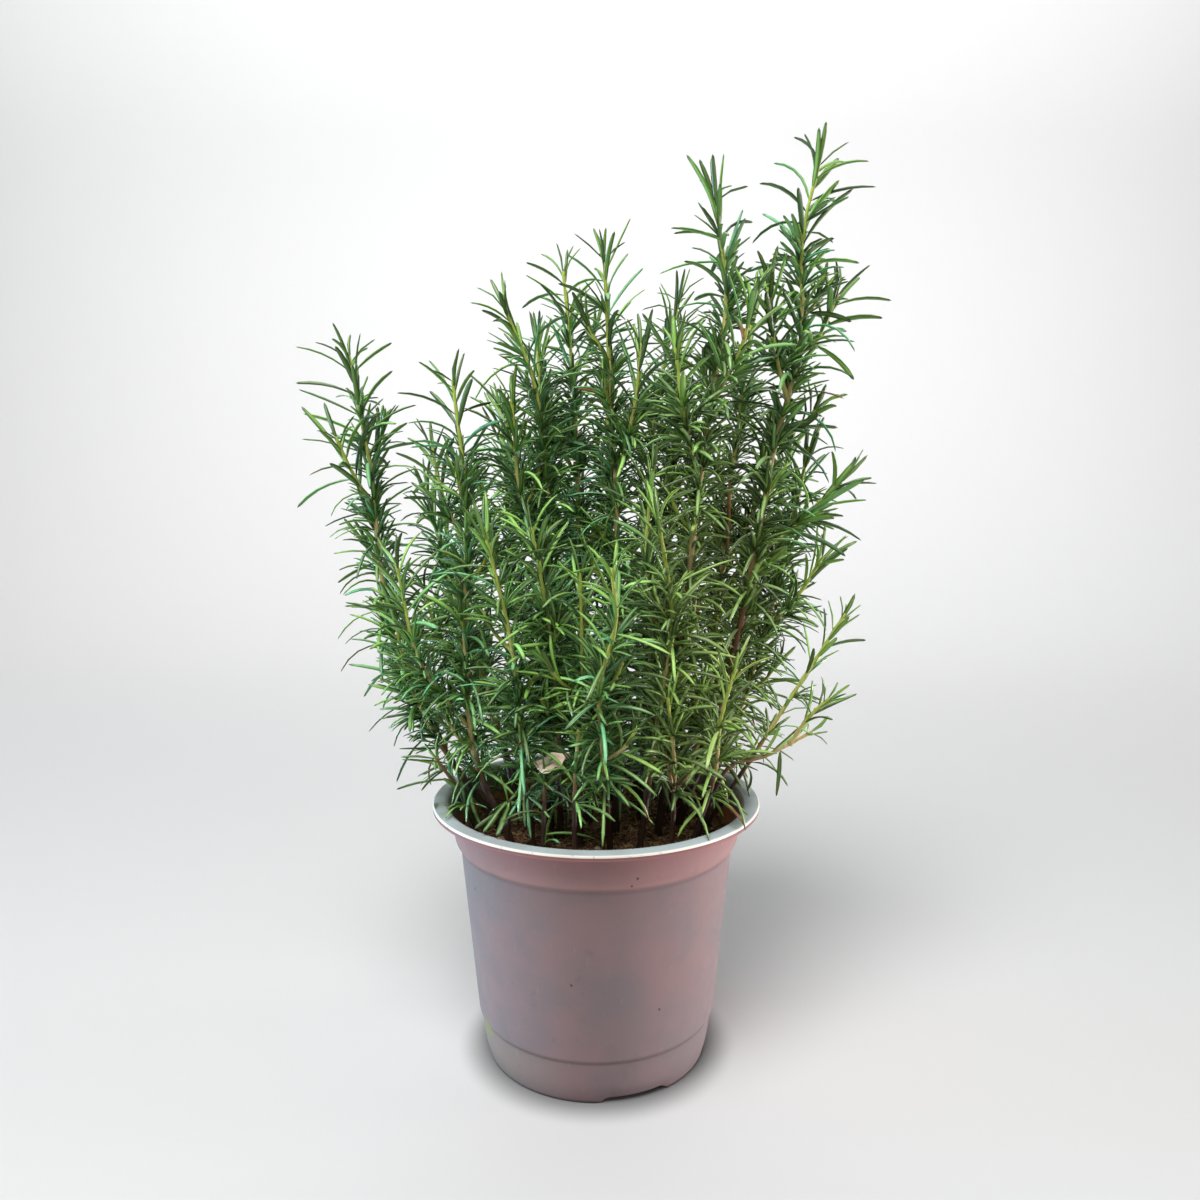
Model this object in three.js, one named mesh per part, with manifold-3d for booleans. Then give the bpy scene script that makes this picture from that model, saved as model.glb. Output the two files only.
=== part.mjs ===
// Potted rosemary in a thermoformed nursery pot, seen with its fullest side towards -Y.
// Millimetres, +Z up, +X to the right. The origin is the centre of the pot's base,
// on the surface that the pot stands on.

import * as THREE from 'three';
import { mergeVertices } from 'three/addons/utils/BufferGeometryUtils.js';
import Module from 'manifold-3d';

const wasm = await Module();
wasm.setup();

const GAP = 0.3; // clearance between pieces that touch

// Pot: a tapered shell with a narrower foot, a shoulder band and a flat flange
const POT_HEIGHT = 137;
const WALL = 1.4;
const FLOOR = 4;
const BASE_RADIUS = 58;
const BASE_CHAMFER = 1.5;
const ANKLE_RADIUS = 59.7;
const ANKLE_HEIGHT = 9;
const FOOT_RADIUS = 61.4;
const FOOT_HEIGHT = 24;
const FOOT_STEP_HALF = 2; // the step above the foot reaches this far to each side of its height
const WALL_FOOT_RADIUS = 62.6;
const WALL_TOP_RADIUS = 71;
const SHOULDER_HEIGHT = 113;
const SHOULDER_RADIUS = 73.6;
const SHOULDER_TOP_RADIUS = 76.8;
const SHOULDER_STEP = 3.5;
const SHOULDER_TOP_HEIGHT = 133;
const RIM_INNER_RADIUS = 78;
const RIM_ROOT_RADIUS = 78.6; // underside of the flange, where it leaves the wall
const RIM_RADIUS = 85;
const RIM_FALL = 0.7;
const LIP_DROP = 2.8;
const RIM_THICKNESS = 1.2;
const TURN_SEGMENTS = 32;

// Drain channels under the base, each with one hole through the floor
const CHANNEL_COUNT = 3;
const CHANNEL_WIDTH = 30;
const CHANNEL_DEPTH = 2.6;
const CHANNEL_START = 26;
const FIRST_CHANNEL_ANGLE = -70;
const DRAIN_HOLE_RADIUS = 4.5;
const DRAIN_HOLE_PLACE = 44;
const DRAIN_HOLE_SIDES = 12;

// Soil: a root ball that fills the pot to below the rim
const SOIL_LEVEL = 117.5;
const SOIL_RINGS = [54, 28];
const SOIL_BUMP = 0.9; // height of the soil's low waves
const ROOT_DEPTH = 16;

// Wood: radius of a stem where it leaves the soil, for each millimetre of its length, and at its tip
const WOOD_LEAST_RADIUS = 1.2;
const WOOD_RADIUS_PER_LENGTH = 0.0036;
const TIP_RADIUS = 0.8;
const SHOOT_RADIUS = 1.1;
const WOOD_SIDES = 4; // young rosemary stems are square, and the needles sit on the flat sides
const WOOD_STEP = 55; // length of each straight run of wood
const LINE_SAMPLES = 200;
const SHOOT_BARE = 12; // wood without needles where a shoot leaves its stem
const STEM_TURN = 137.5; // each stem's flat sides are turned this far from the last one's, in degrees

// Needles: in pairs, each pair turned a quarter from the last, with a tuft at every tip
const PAIR_SPACING = 17;
const NEEDLE_LENGTH = 27;
const YOUNG_NEEDLE_LENGTH = 20;
const YOUNG_ZONE = 45; // how far below a tip the needles are still short
const UPRIGHT_ZONE = 170; // how far below a tip they still lean upwards
const NEEDLE_RADIUS = 1.4; // from the needle's middle to the corners of its three-sided section
const NEEDLE_FLATNESS = 0.6;
const NEEDLE_WIDEST = 0.34; // where a needle is widest, as a share of its length from the wood
const UPRIGHT_ANGLE = 30; // between a young needle and its stem, in degrees
const SPREAD_ANGLE = 72;
const ARCH = 24; // how far a needle bends away over its length, in degrees
const TUFT_COUNT = 4;
const TUFT_ANGLE = 17;
const TUFT_LENGTH = 17;
const TUFT_DEPTH = 2.5; // how far below the tip of the wood the tuft starts
const TURN_RANGE = [-12, 12]; // how far a pair is turned out of true, in degrees
const LEAN_RANGE = [-8, 8];
const LENGTH_RANGE = [0.85, 1.12];
const TUFT_ANGLE_RANGE = [0.6, 1.3];
const TUFT_LENGTH_RANGE = [0.8, 1.1];
const SEED = 45;

// Room between a needle and whatever it doesn't belong to, and what is tried to find it
const CLEARANCE = 0.35;
const POT_ROOM = 4;
const NEAR = 90; // rods that start further apart than this can't touch
const FIT_SHARES = [1, 0.85, 0.7];
const FIT_TURNS = [0, 16, -16, 32, -32, 48, -48];
const OWN_START = 0.55; // share of a needle's inner half that may meet its neighbours on the wood
const OWN_ROOM = 1.6 * NEEDLE_RADIUS;

// Leafy stems. root is where the stem leaves the soil; through are the points that its wood
// passes, the last one its tip; bare is the length of wood without needles; each shoot leaves
// the stem at the height z = from.
const STEMS = [
  { name: 'stem_left_outer', root: [-50, -4], bare: 18,
    through: [[-76, -2, 156], [-104, 2, 214], [-112, 5, 262], [-115, 7, 300], [-126, 8, 358]],
    shoots: [
      { from: 172, through: [[-94, -16, 200], [-100, -22, 240]] },
      { from: 286, through: [[-123, 0, 304], [-130, -4, 322]] },
    ] },
  { name: 'stem_left_second', root: [-44, -20], bare: 20,
    through: [[-58, -27, 158], [-63, -32, 205], [-62, -30, 290], [-67, -25, 342]],
    shoots: [
      { from: 268, through: [[-73, -24, 290], [-80, -16, 316]] },
      { from: 178, through: [[-84, -37, 214], [-94, -40, 262]] },
    ] },
  { name: 'stem_left_middle', root: [-24, -3], bare: 22,
    through: [[-25, 0, 200], [-25, -4, 300], [-31, -7, 350], [-43, -10, 377]],
    shoots: [{ from: 250, through: [[-37, -12, 290], [-41, -14, 340]] }] },
  { name: 'stem_middle', root: [-4, 10], bare: 22,
    through: [[-5, 14, 190], [-9, 20, 280], [-12, 24, 350], [-17, 25, 408]],
    shoots: [{ from: 300, through: [[-27, 14, 338], [-30, 12, 366]] }] },
  { name: 'stem_middle_front', root: [10, -8], bare: 22,
    through: [[12, -2, 200], [10, -3, 290], [6, -6, 370], [3, -8, 410]],
    shoots: [{ from: 300, through: [[18, -16, 332], [22, -20, 366]] }] },
  { name: 'stem_middle_right', root: [24, 16], bare: 20,
    through: [[28, 26, 215], [29, 34, 310], [34, 38, 370], [37, 38, 400]],
    shoots: [] },
  { name: 'stem_right', root: [32, -12], bare: 26,
    through: [[39, -19, 180], [46, -24, 262], [54, -22, 330], [62, -20, 388], [52, -18, 440]],
    shoots: [
      { from: 300, through: [[41, -32, 334], [37, -34, 362]] },
      { from: 335, through: [[68, -30, 362], [73, -32, 384]] },
    ] },
  { name: 'stem_right_tall', root: [44, 3], bare: 26,
    through: [[62, -4, 180], [77, -6, 245], [89, -4, 316], [102, 1, 368], [101, 2, 420], [106, 2, 452]],
    shoots: [
      { from: 262, through: [[106, 4, 282], [126, 8, 300]] },
      { from: 340, through: [[88, -6, 366], [84, -8, 394]] },
      { from: 350, through: [[112, 6, 372], [122, 10, 394]] },
    ] },
  { name: 'stem_right_inner', root: [56, 18], bare: 18,
    through: [[78, 16, 180], [98, 20, 250], [112, 22, 318]],
    shoots: [{ from: 220, through: [[104, 6, 240], [116, 0, 262]] }] },
  { name: 'stem_low_right', root: [58, -2], bare: 14,
    through: [[80, -8, 158], [104, -13, 200], [126, -10, 234]],
    shoots: [] },
  { name: 'twig_low_right', root: [52, -19], bare: 40,
    through: [[67, -22, 158], [84, -24, 164], [108, -22, 176]],
    shoots: [{ from: 170, through: [[104, -32, 186], [113, -35, 196]] }] },
  { name: 'stem_front_middle', root: [7, -29], bare: 24,
    through: [[4, -50, 165], [2, -64, 208], [9, -74, 236], [7, -77, 258]],
    shoots: [] },
  { name: 'stem_front_inner', root: [-8, -26], bare: 30,
    through: [[-6, -46, 200], [-7, -62, 260]],
    shoots: [] },
  { name: 'shoot_front_low', root: [-10, -47], bare: 14,
    through: [[-10, -54, 150], [-8, -60, 187]],
    shoots: [] },
  { name: 'shoot_front_right_low', root: [37, -38], bare: 20,
    through: [[37, -50, 168], [33, -61, 202]],
    shoots: [] },
  { name: 'shoot_front_left_low', root: [-43, -42], bare: 10,
    through: [[-41, -49, 150]],
    shoots: [] },
  { name: 'shoot_front_small', root: [-26, -46], bare: 12,
    through: [[-24, -50, 160]],
    shoots: [] },
  { name: 'stem_front_left', root: [-31, -32], bare: 24,
    through: [[-35, -42, 170], [-38, -53, 220], [-50, -61, 280]],
    shoots: [] },
  { name: 'stem_front_left_inner', root: [-18, -18], bare: 30,
    through: [[-19, -30, 180], [-22, -48, 235], [-29, -58, 280]],
    shoots: [] },
  { name: 'stem_front_right', root: [22, -30], bare: 26,
    through: [[30, -42, 190], [35, -56, 236], [28, -64, 284]],
    shoots: [{ from: 210, through: [[24, -44, 260], [26, -45, 306]] }] },
  { name: 'stem_right_front', root: [47, -33], bare: 18,
    through: [[57, -42, 160], [59, -49, 190], [65, -52, 214]],
    shoots: [] },
  { name: 'shoot_left_low', root: [-60, -18], bare: 8,
    through: [[-68, -22, 144], [-80, -26, 164]],
    shoots: [] },
  { name: 'stem_back_left', root: [-42, 20], bare: 20,
    through: [[-62, 36, 190], [-84, 48, 250], [-96, 54, 298]],
    shoots: [{ from: 190, through: [[-84, 24, 216], [-92, 16, 246]] }] },
  { name: 'stem_back_left_outer', root: [-42, 38], bare: 18,
    through: [[-66, 66, 180], [-84, 80, 235], [-92, 86, 284]],
    shoots: [] },
  { name: 'stem_back_left_middle', root: [-24, 36], bare: 20,
    through: [[-38, 60, 200], [-50, 75, 270], [-56, 80, 342]],
    shoots: [{ from: 230, through: [[-60, 56, 266], [-64, 46, 300]] }] },
  { name: 'stem_back_inner', root: [-10, 28], bare: 24,
    through: [[-18, 42, 210], [-26, 52, 300], [-32, 55, 376]],
    shoots: [{ from: 270, through: [[-42, 36, 306], [-48, 28, 336]] }] },
  { name: 'stem_back_low', root: [-10, 56], bare: 16,
    through: [[-14, 86, 190], [-18, 102, 250], [-20, 108, 298]],
    shoots: [] },
  { name: 'stem_back_middle', root: [8, 44], bare: 20,
    through: [[8, 68, 200], [8, 82, 280], [6, 88, 350]],
    shoots: [{ from: 240, through: [[-6, 62, 276], [-8, 54, 314]] }] },
  { name: 'stem_back_right_inner', root: [28, 38], bare: 22,
    through: [[38, 54, 210], [44, 62, 310], [48, 66, 386]],
    shoots: [{ from: 290, through: [[60, 54, 324], [62, 46, 352]] }] },
  { name: 'stem_back_right_low', root: [22, 54], bare: 16,
    through: [[44, 84, 190], [58, 98, 246], [64, 104, 296]],
    shoots: [] },
  { name: 'stem_back_right', root: [40, 22], bare: 20,
    through: [[62, 34, 200], [74, 42, 300], [84, 46, 384]],
    shoots: [{ from: 250, through: [[86, 34, 286], [92, 30, 326]] }] },
  { name: 'stem_back_right_outer', root: [45, 36], bare: 18,
    through: [[78, 56, 186], [98, 66, 250], [110, 70, 316]],
    shoots: [{ from: 210, through: [[72, 74, 244], [72, 82, 284]] }] },
];

const plastic = new THREE.MeshStandardMaterial({ color: '#a08c8c', roughness: 0.55, metalness: 0 });
const peat = new THREE.MeshStandardMaterial({ color: '#3b2a20', roughness: 1, metalness: 0 });
const foliage = new THREE.MeshStandardMaterial({ color: '#4a7342', roughness: 0.6, metalness: 0 });

const { degToRad, lerp, clamp, smoothstep } = THREE.MathUtils;

function drawn(random, [low, high]) {
  return lerp(low, high, random());
}

// Joining and cutting

function toSolid(geometry) {
  const bare = geometry.clone();
  bare.deleteAttribute('normal');
  bare.deleteAttribute('uv');
  const merged = mergeVertices(bare, 1e-4);
  return new wasm.Manifold(new wasm.Mesh({
    numProp: 3,
    vertProperties: new Float32Array(merged.attributes.position.array),
    triVerts: new Uint32Array(merged.index.array),
  }));
}

function toGeometry(solid) {
  const mesh = solid.getMesh();
  const geometry = new THREE.BufferGeometry();
  geometry.setAttribute('position', new THREE.BufferAttribute(new Float32Array(mesh.vertProperties), 3));
  geometry.setIndex(new THREE.BufferAttribute(new Uint32Array(mesh.triVerts), 1));
  geometry.computeVertexNormals();
  return geometry;
}

function piece(name, geometry, material) {
  const mesh = new THREE.Mesh(geometry, material.clone());
  mesh.name = name;
  return mesh;
}

// Pot

// Outer face of the wall, from the floor to the flange, as radius and height
function wallProfile() {
  return [
    [BASE_RADIUS, BASE_CHAMFER],
    [ANKLE_RADIUS, ANKLE_HEIGHT],
    [FOOT_RADIUS, FOOT_HEIGHT - FOOT_STEP_HALF],
    [WALL_FOOT_RADIUS, FOOT_HEIGHT + FOOT_STEP_HALF],
    [WALL_TOP_RADIUS, SHOULDER_HEIGHT],
    [SHOULDER_RADIUS, SHOULDER_HEIGHT + SHOULDER_STEP],
    [SHOULDER_TOP_RADIUS, SHOULDER_TOP_HEIGHT],
  ];
}

function wallRadius(height) {
  const profile = wallProfile();
  const above = profile.findIndex(([, z]) => z > height);
  const upper = above < 0 ? profile.length - 1 : Math.max(1, above);
  const [[r0, z0], [r1, z1]] = [profile[upper - 1], profile[upper]];
  return r0 + (r1 - r0) * (height - z0) / (z1 - z0);
}

function turned(profile) {
  const points = profile.map(([radius, height]) => new THREE.Vector2(radius, height));
  return new THREE.LatheGeometry(points, TURN_SEGMENTS).rotateX(Math.PI / 2);
}

function drainChannel(angle) {
  const half = CHANNEL_WIDTH / 2;
  const section = new THREE.Shape();
  section.moveTo(-half - CHANNEL_DEPTH * 2, -CHANNEL_DEPTH);
  section.lineTo(half + CHANNEL_DEPTH * 2, -CHANNEL_DEPTH);
  section.lineTo(half - CHANNEL_DEPTH, CHANNEL_DEPTH);
  section.lineTo(-half + CHANNEL_DEPTH, CHANNEL_DEPTH);
  section.closePath();
  const channel = new THREE.ExtrudeGeometry(section, { depth: BASE_RADIUS, bevelEnabled: false });
  channel.rotateX(Math.PI / 2).rotateZ(Math.PI / 2).translate(CHANNEL_START, 0, 0);
  channel.rotateZ(degToRad(angle));
  return toSolid(channel);
}

function drainHole(angle) {
  const length = 4 * FLOOR;
  const hole = new THREE.CylinderGeometry(DRAIN_HOLE_RADIUS, DRAIN_HOLE_RADIUS, length, DRAIN_HOLE_SIDES);
  hole.rotateX(Math.PI / 2).translate(DRAIN_HOLE_PLACE, 0, 0).rotateZ(degToRad(angle));
  return toSolid(hole);
}

function makePot() {
  const outside = wallProfile();
  const inside = outside
    .filter(([, height]) => height > FLOOR)
    .map(([radius, height]) => [radius - WALL, height])
    .reverse();
  const lipTop = POT_HEIGHT - RIM_FALL;
  const shell = turned([
    [0, 0],
    [BASE_RADIUS - BASE_CHAMFER, 0],
    ...outside,
    [RIM_ROOT_RADIUS, POT_HEIGHT - RIM_THICKNESS],
    [RIM_RADIUS - RIM_THICKNESS, lipTop - RIM_THICKNESS],
    [RIM_RADIUS - RIM_THICKNESS, lipTop - LIP_DROP],
    [RIM_RADIUS, lipTop - LIP_DROP],
    [RIM_RADIUS, lipTop],
    [RIM_INNER_RADIUS, POT_HEIGHT],
    ...inside,
    [BASE_RADIUS - WALL, FLOOR],
    [0, FLOOR],
  ]);
  let pot = toSolid(shell);
  for (let i = 0; i < CHANNEL_COUNT; i += 1) {
    const angle = FIRST_CHANNEL_ANGLE + i * 360 / CHANNEL_COUNT;
    pot = pot.subtract(drainChannel(angle)).subtract(drainHole(angle));
  }
  return piece('pot', toGeometry(pot), plastic);
}

// Stems' wood

function point([x, y, z]) {
  return new THREE.Vector3(x, y, z);
}

// Moves each ring of a unit shape's vertices, which lie between y = -0.5 and 0.5, to its point
// and radius on a line. across is the direction of the shape's first spoke.
function alongLine(shape, points, radii, across, flatness = 1) {
  const last = points.length - 1;
  const place = shape.attributes.position;
  const spoke = new THREE.Vector2();
  for (let i = 0; i < place.count; i += 1) {
    const ring = Math.round((place.getY(i) + 0.5) * last);
    const before = points[Math.max(ring - 1, 0)];
    const after = points[Math.min(ring + 1, last)];
    const along = after.clone().sub(before).normalize();
    const side = across.clone().addScaledVector(along, -across.dot(along)).normalize();
    const rise = new THREE.Vector3().crossVectors(side, along);
    spoke.set(place.getX(i), place.getZ(i));
    const isCentre = spoke.length() < 1e-6;
    spoke.setLength(isCentre ? 0 : radii[ring]);
    const moved = points[ring].clone();
    moved.addScaledVector(side, spoke.x).addScaledVector(rise, spoke.y * flatness);
    place.setXYZ(i, moved.x, moved.y, moved.z);
  }
  return shape;
}

function woodRod(points, radii, across) {
  const rod = new THREE.CylinderGeometry(1, 1, 1, WOOD_SIDES, points.length - 1);
  return alongLine(rod, points, radii, across);
}

function woodRadius(length) {
  return WOOD_LEAST_RADIUS + WOOD_RADIUS_PER_LENGTH * length;
}

// A branch's line from its first point to its tip, as evenly spaced points
function branchLine(points) {
  const curve = new THREE.CatmullRomCurve3(points, false, 'centripetal');
  const length = curve.getLength();
  const steps = Math.max(2, Math.round(length / WOOD_STEP));
  return { curve, length, points: curve.getSpacedPoints(steps) };
}

function pointAtHeight(curve, height) {
  const samples = curve.getSpacedPoints(LINE_SAMPLES);
  return samples.reduce((best, p) => (Math.abs(p.z - height) < Math.abs(best.z - height) ? p : best));
}

// The stem and its side shoots, each with its line, its radius and where its needles begin.
// across points to one corner of the square wood.
function grow(stem, index) {
  const [x, y] = stem.root;
  const start = new THREE.Vector3(x, y, SOIL_LEVEL + 3);
  const main = branchLine([start, ...stem.through.map(point)]);
  const branches = [{ ...main, radius: woodRadius(main.length), bare: stem.bare }];
  for (const shoot of stem.shoots) {
    const from = pointAtHeight(main.curve, shoot.from);
    const line = branchLine([from, ...shoot.through.map(point)]);
    branches.push({ ...line, radius: SHOOT_RADIUS, bare: SHOOT_BARE });
  }
  const turn = degToRad(index * STEM_TURN);
  return { stem, branches, across: new THREE.Vector3(Math.cos(turn), Math.sin(turn), 0) };
}

function taper(branch) {
  const last = branch.points.length - 1;
  return branch.points.map((_, i) => lerp(branch.radius, TIP_RADIUS, i / last));
}

function inSoil(stem, depth) {
  return new THREE.Vector3(stem.root[0], stem.root[1], SOIL_LEVEL - depth);
}

// Needles

function segmentGap(a, b, c, d) {
  const along = b.clone().sub(a);
  const other = d.clone().sub(c);
  const between = a.clone().sub(c);
  const aa = along.lengthSq();
  const bb = other.lengthSq();
  const ab = along.dot(other);
  const ac = along.dot(between);
  const bc = other.dot(between);
  const spread = aa * bb - ab * ab;
  let s = spread > 1e-9 ? clamp((ab * bc - ac * bb) / spread, 0, 1) : 0;
  const t = clamp((ab * s + bc) / bb, 0, 1);
  s = clamp((ab * t - ac) / aa, 0, 1);
  return a.clone().addScaledVector(along, s).distanceTo(c.clone().addScaledVector(other, t));
}

function isClearOfPot(p) {
  if (p.z > POT_HEIGHT + POT_ROOM) {
    return true;
  }
  return p.z > SOIL_LEVEL + POT_ROOM && Math.hypot(p.x, p.y) < wallRadius(p.z) - WALL - POT_ROOM;
}

// taken holds every rod so far as { from, to, radius, owner }
function isClear(rods, owner, taken) {
  for (const { from, to, radius } of rods) {
    if (!isClearOfPot(to)) {
      return false;
    }
    for (const other of taken) {
      const room = radius + other.radius + CLEARANCE;
      const isNear = from.distanceTo(other.from) < NEAR;
      if (other.owner !== owner && isNear && segmentGap(from, to, other.from, other.to) < room) {
        return false;
      }
    }
  }
  return true;
}

// A needle that leaves the wood at foot in the direction of azimuth, angle degrees from the stem
function needleAt(foot, along, azimuth, angle, length) {
  const away = along.clone().multiplyScalar(Math.cos(degToRad(angle)));
  away.addScaledVector(azimuth, Math.sin(degToRad(angle)));
  const far = along.clone().multiplyScalar(Math.cos(degToRad(angle + ARCH)));
  far.addScaledVector(azimuth, Math.sin(degToRad(angle + ARCH)));
  const middle = foot.clone().addScaledVector(away, length * NEEDLE_WIDEST);
  const end = middle.clone().addScaledVector(far, length * (1 - NEEDLE_WIDEST));
  return { points: [foot, middle, end], across: new THREE.Vector3().crossVectors(along, azimuth) };
}

function rodsOf(needle) {
  const [foot, middle, end] = needle.points;
  return [
    { from: foot, to: middle, radius: NEEDLE_RADIUS },
    { from: middle, to: end, radius: NEEDLE_RADIUS },
  ];
}

// Tries the needle where it grows, then turned and shortened, until it crosses no other stem
function fitNeedle(place, owner, taken) {
  for (const share of FIT_SHARES) {
    for (const turn of FIT_TURNS) {
      const azimuth = place.azimuth.clone().applyAxisAngle(place.along, degToRad(turn));
      const needle = needleAt(place.foot, place.along, azimuth, place.angle, place.length * share);
      if (isClear(rodsOf(needle), owner, taken)) {
        return needle;
      }
    }
  }
  return null;
}

// The direction square to along that points to the middle of one flat side of the wood
function flatSide(across, along) {
  const corner = across.clone().addScaledVector(along, -across.dot(along)).normalize();
  return corner.applyAxisAngle(along, Math.PI / WOOD_SIDES);
}

// The middle of the wood at a share of the branch's length, on the straight run between two rings
function onWood({ points }, share) {
  const run = share * (points.length - 1);
  const ring = Math.min(Math.floor(run), points.length - 2);
  return points[ring].clone().lerp(points[ring + 1], run - ring);
}

function needlePlaces(branch, across, random) {
  const places = [];
  const { curve, length } = branch;
  const leafy = length - branch.bare;
  const pairs = Math.max(2, Math.round(leafy / PAIR_SPACING));
  for (let i = 0; i < pairs; i += 1) {
    const below = (i + 0.6) * leafy / pairs;
    const share = 1 - below / length;
    const along = curve.getTangentAt(share);
    const foot = onWood(branch, share);
    const side = flatSide(across, along);
    const age = smoothstep(below, 0, YOUNG_ZONE);
    const lean = lerp(UPRIGHT_ANGLE, SPREAD_ANGLE, smoothstep(below, -20, UPRIGHT_ZONE));
    const quarter = (i % 2) * 90 + drawn(random, TURN_RANGE);
    for (const half of [0, 180]) {
      places.push({
        foot,
        along,
        azimuth: side.clone().applyAxisAngle(along, degToRad(quarter + half)),
        angle: lean + drawn(random, LEAN_RANGE),
        length: lerp(YOUNG_NEEDLE_LENGTH, NEEDLE_LENGTH, age) * drawn(random, LENGTH_RANGE),
      });
    }
  }
  const along = curve.getTangentAt(1);
  const foot = onWood(branch, 1).addScaledVector(along, -TUFT_DEPTH);
  const side = flatSide(across, along);
  for (let i = 0; i < TUFT_COUNT; i += 1) {
    const turn = i * 360 / TUFT_COUNT;
    places.push({
      foot,
      along,
      azimuth: side.clone().applyAxisAngle(along, degToRad(turn)),
      angle: TUFT_ANGLE * drawn(random, TUFT_ANGLE_RANGE),
      length: TUFT_LENGTH * drawn(random, TUFT_LENGTH_RANGE),
    });
  }
  return places;
}

// A three-sided spindle: a point in the wood, three corners where it is widest, and its tip
function needleSolid(needle) {
  const spindle = new THREE.SphereGeometry(0.5, 3, 2);
  return toSolid(alongLine(spindle, needle.points, [0, NEEDLE_RADIUS, 0], needle.across, NEEDLE_FLATNESS));
}

// A needle within its own stem may not cross one that is already there
function crossesOwn(needle, own) {
  const start = ({ points }) => points[0].clone().lerp(points[1], OWN_START);
  return own.some((other) => {
    const room = segmentGap(start(needle), needle.points[2], start(other), other.points[2]);
    return room < OWN_ROOM;
  });
}

function makeStem({ stem, branches, across }, random, taken) {
  const solids = branches.map((branch, i) => {
    const radii = taper(branch);
    const points = [...branch.points];
    if (i === 0) {
      points.unshift(inSoil(stem, ROOT_DEPTH));
      radii.unshift(branch.radius);
    }
    return toSolid(woodRod(points, radii, across));
  });
  const own = [];
  for (const branch of branches) {
    for (const place of needlePlaces(branch, across, random)) {
      const needle = fitNeedle(place, stem.name, taken);
      if (needle && !crossesOwn(needle, own)) {
        own.push(needle);
        solids.push(needleSolid(needle));
        taken.push(...rodsOf(needle).map((r) => ({ ...r, owner: stem.name })));
      }
    }
  }
  const joined = wasm.Manifold.union(solids);
  return piece(stem.name, toGeometry(joined), foliage);
}

function makeStems(grown) {
  const taken = [];
  for (const { stem, branches } of grown) {
    for (const branch of branches) {
      branch.points.slice(1).forEach((to, i) => {
        taken.push({ from: branch.points[i], to, radius: branch.radius, owner: stem.name });
      });
    }
  }
  THREE.MathUtils.seededRandom(SEED);
  const random = () => THREE.MathUtils.seededRandom();
  return grown.map((plant) => makeStem(plant, random, taken));
}

// Soil

// A plain hole with the wood's own flat sides, wider by the gap
function stemHole({ stem, branches, across }) {
  const radius = branches[0].radius + GAP / Math.cos(Math.PI / WOOD_SIDES);
  const ends = [inSoil(stem, ROOT_DEPTH + GAP), inSoil(stem, -ROOT_DEPTH)];
  return toSolid(woodRod(ends, [radius, radius], across));
}

// Two sets of low waves that cross
function soilBump(x, y) {
  return SOIL_BUMP * (Math.sin(x / 9) * Math.cos(y / 8) + 0.7 * Math.sin(x / 5 + y / 6));
}

function makeSoil(grown) {
  const edge = wallRadius(SOIL_LEVEL) - WALL - GAP;
  const side = wallProfile()
    .filter(([, height]) => height > FLOOR && height < SOIL_LEVEL)
    .map(([radius, height]) => [radius - WALL - GAP, height]);
  const rootBall = turned([
    [0, FLOOR + GAP],
    [BASE_RADIUS - WALL - GAP, FLOOR + GAP],
    ...side,
    [edge, SOIL_LEVEL],
    ...SOIL_RINGS.map((radius) => [radius, SOIL_LEVEL]),
    [0, SOIL_LEVEL],
  ]);
  const place = rootBall.attributes.position;
  for (let i = 0; i < place.count; i += 1) {
    const x = place.getX(i);
    const y = place.getY(i);
    const isTop = place.getZ(i) > SOIL_LEVEL - 0.01 && Math.hypot(x, y) < edge - 1;
    if (isTop) {
      place.setZ(i, SOIL_LEVEL + soilBump(x, y));
    }
  }
  let soil = toSolid(rootBall);
  for (const plant of grown) {
    soil = soil.subtract(stemHole(plant));
  }
  return piece('soil', toGeometry(soil), peat);
}

const grown = STEMS.map(grow);
const rosemary = new THREE.Group();
rosemary.add(makePot(), makeSoil(grown), ...makeStems(grown));

export default rosemary;
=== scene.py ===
"""Dresses a packed rosemary plant with its needles, wood, soil and plastic pot, in the plant's own frame.

Lengths in this file are millimetres. Finished meshes, the materials and the stage are in metres.
+Z is up, +X to the right and -Y towards the camera. The origin is the centre of the pot's base.
"""

import math
import random

import bmesh
import bpy
import numpy as np
from mathutils import Euler, Matrix, Vector, noise


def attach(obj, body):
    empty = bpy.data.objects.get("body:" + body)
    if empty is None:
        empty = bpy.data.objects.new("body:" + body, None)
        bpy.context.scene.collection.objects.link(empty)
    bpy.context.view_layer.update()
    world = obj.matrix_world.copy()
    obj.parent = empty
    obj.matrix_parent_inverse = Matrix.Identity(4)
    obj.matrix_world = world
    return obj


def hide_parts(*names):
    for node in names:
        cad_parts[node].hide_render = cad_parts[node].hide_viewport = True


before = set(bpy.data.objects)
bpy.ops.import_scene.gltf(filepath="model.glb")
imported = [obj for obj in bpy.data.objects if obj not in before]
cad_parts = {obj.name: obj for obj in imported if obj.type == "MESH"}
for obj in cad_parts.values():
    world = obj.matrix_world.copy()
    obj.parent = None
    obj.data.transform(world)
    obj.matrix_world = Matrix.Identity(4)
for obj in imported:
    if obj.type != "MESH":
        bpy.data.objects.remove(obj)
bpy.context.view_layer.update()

bl_info = {
    "name": "Potted Rosemary",
    "version": (1, 0, 0),
    "blender": (4, 5, 0),
    "location": "View3D > Sidebar > Rosemary",
    "description": "Makes a potted rosemary's needles, wood, soil and pot around its packed model",
    "category": "Object",
}

MM = 0.001
BODY = "root"

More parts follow.
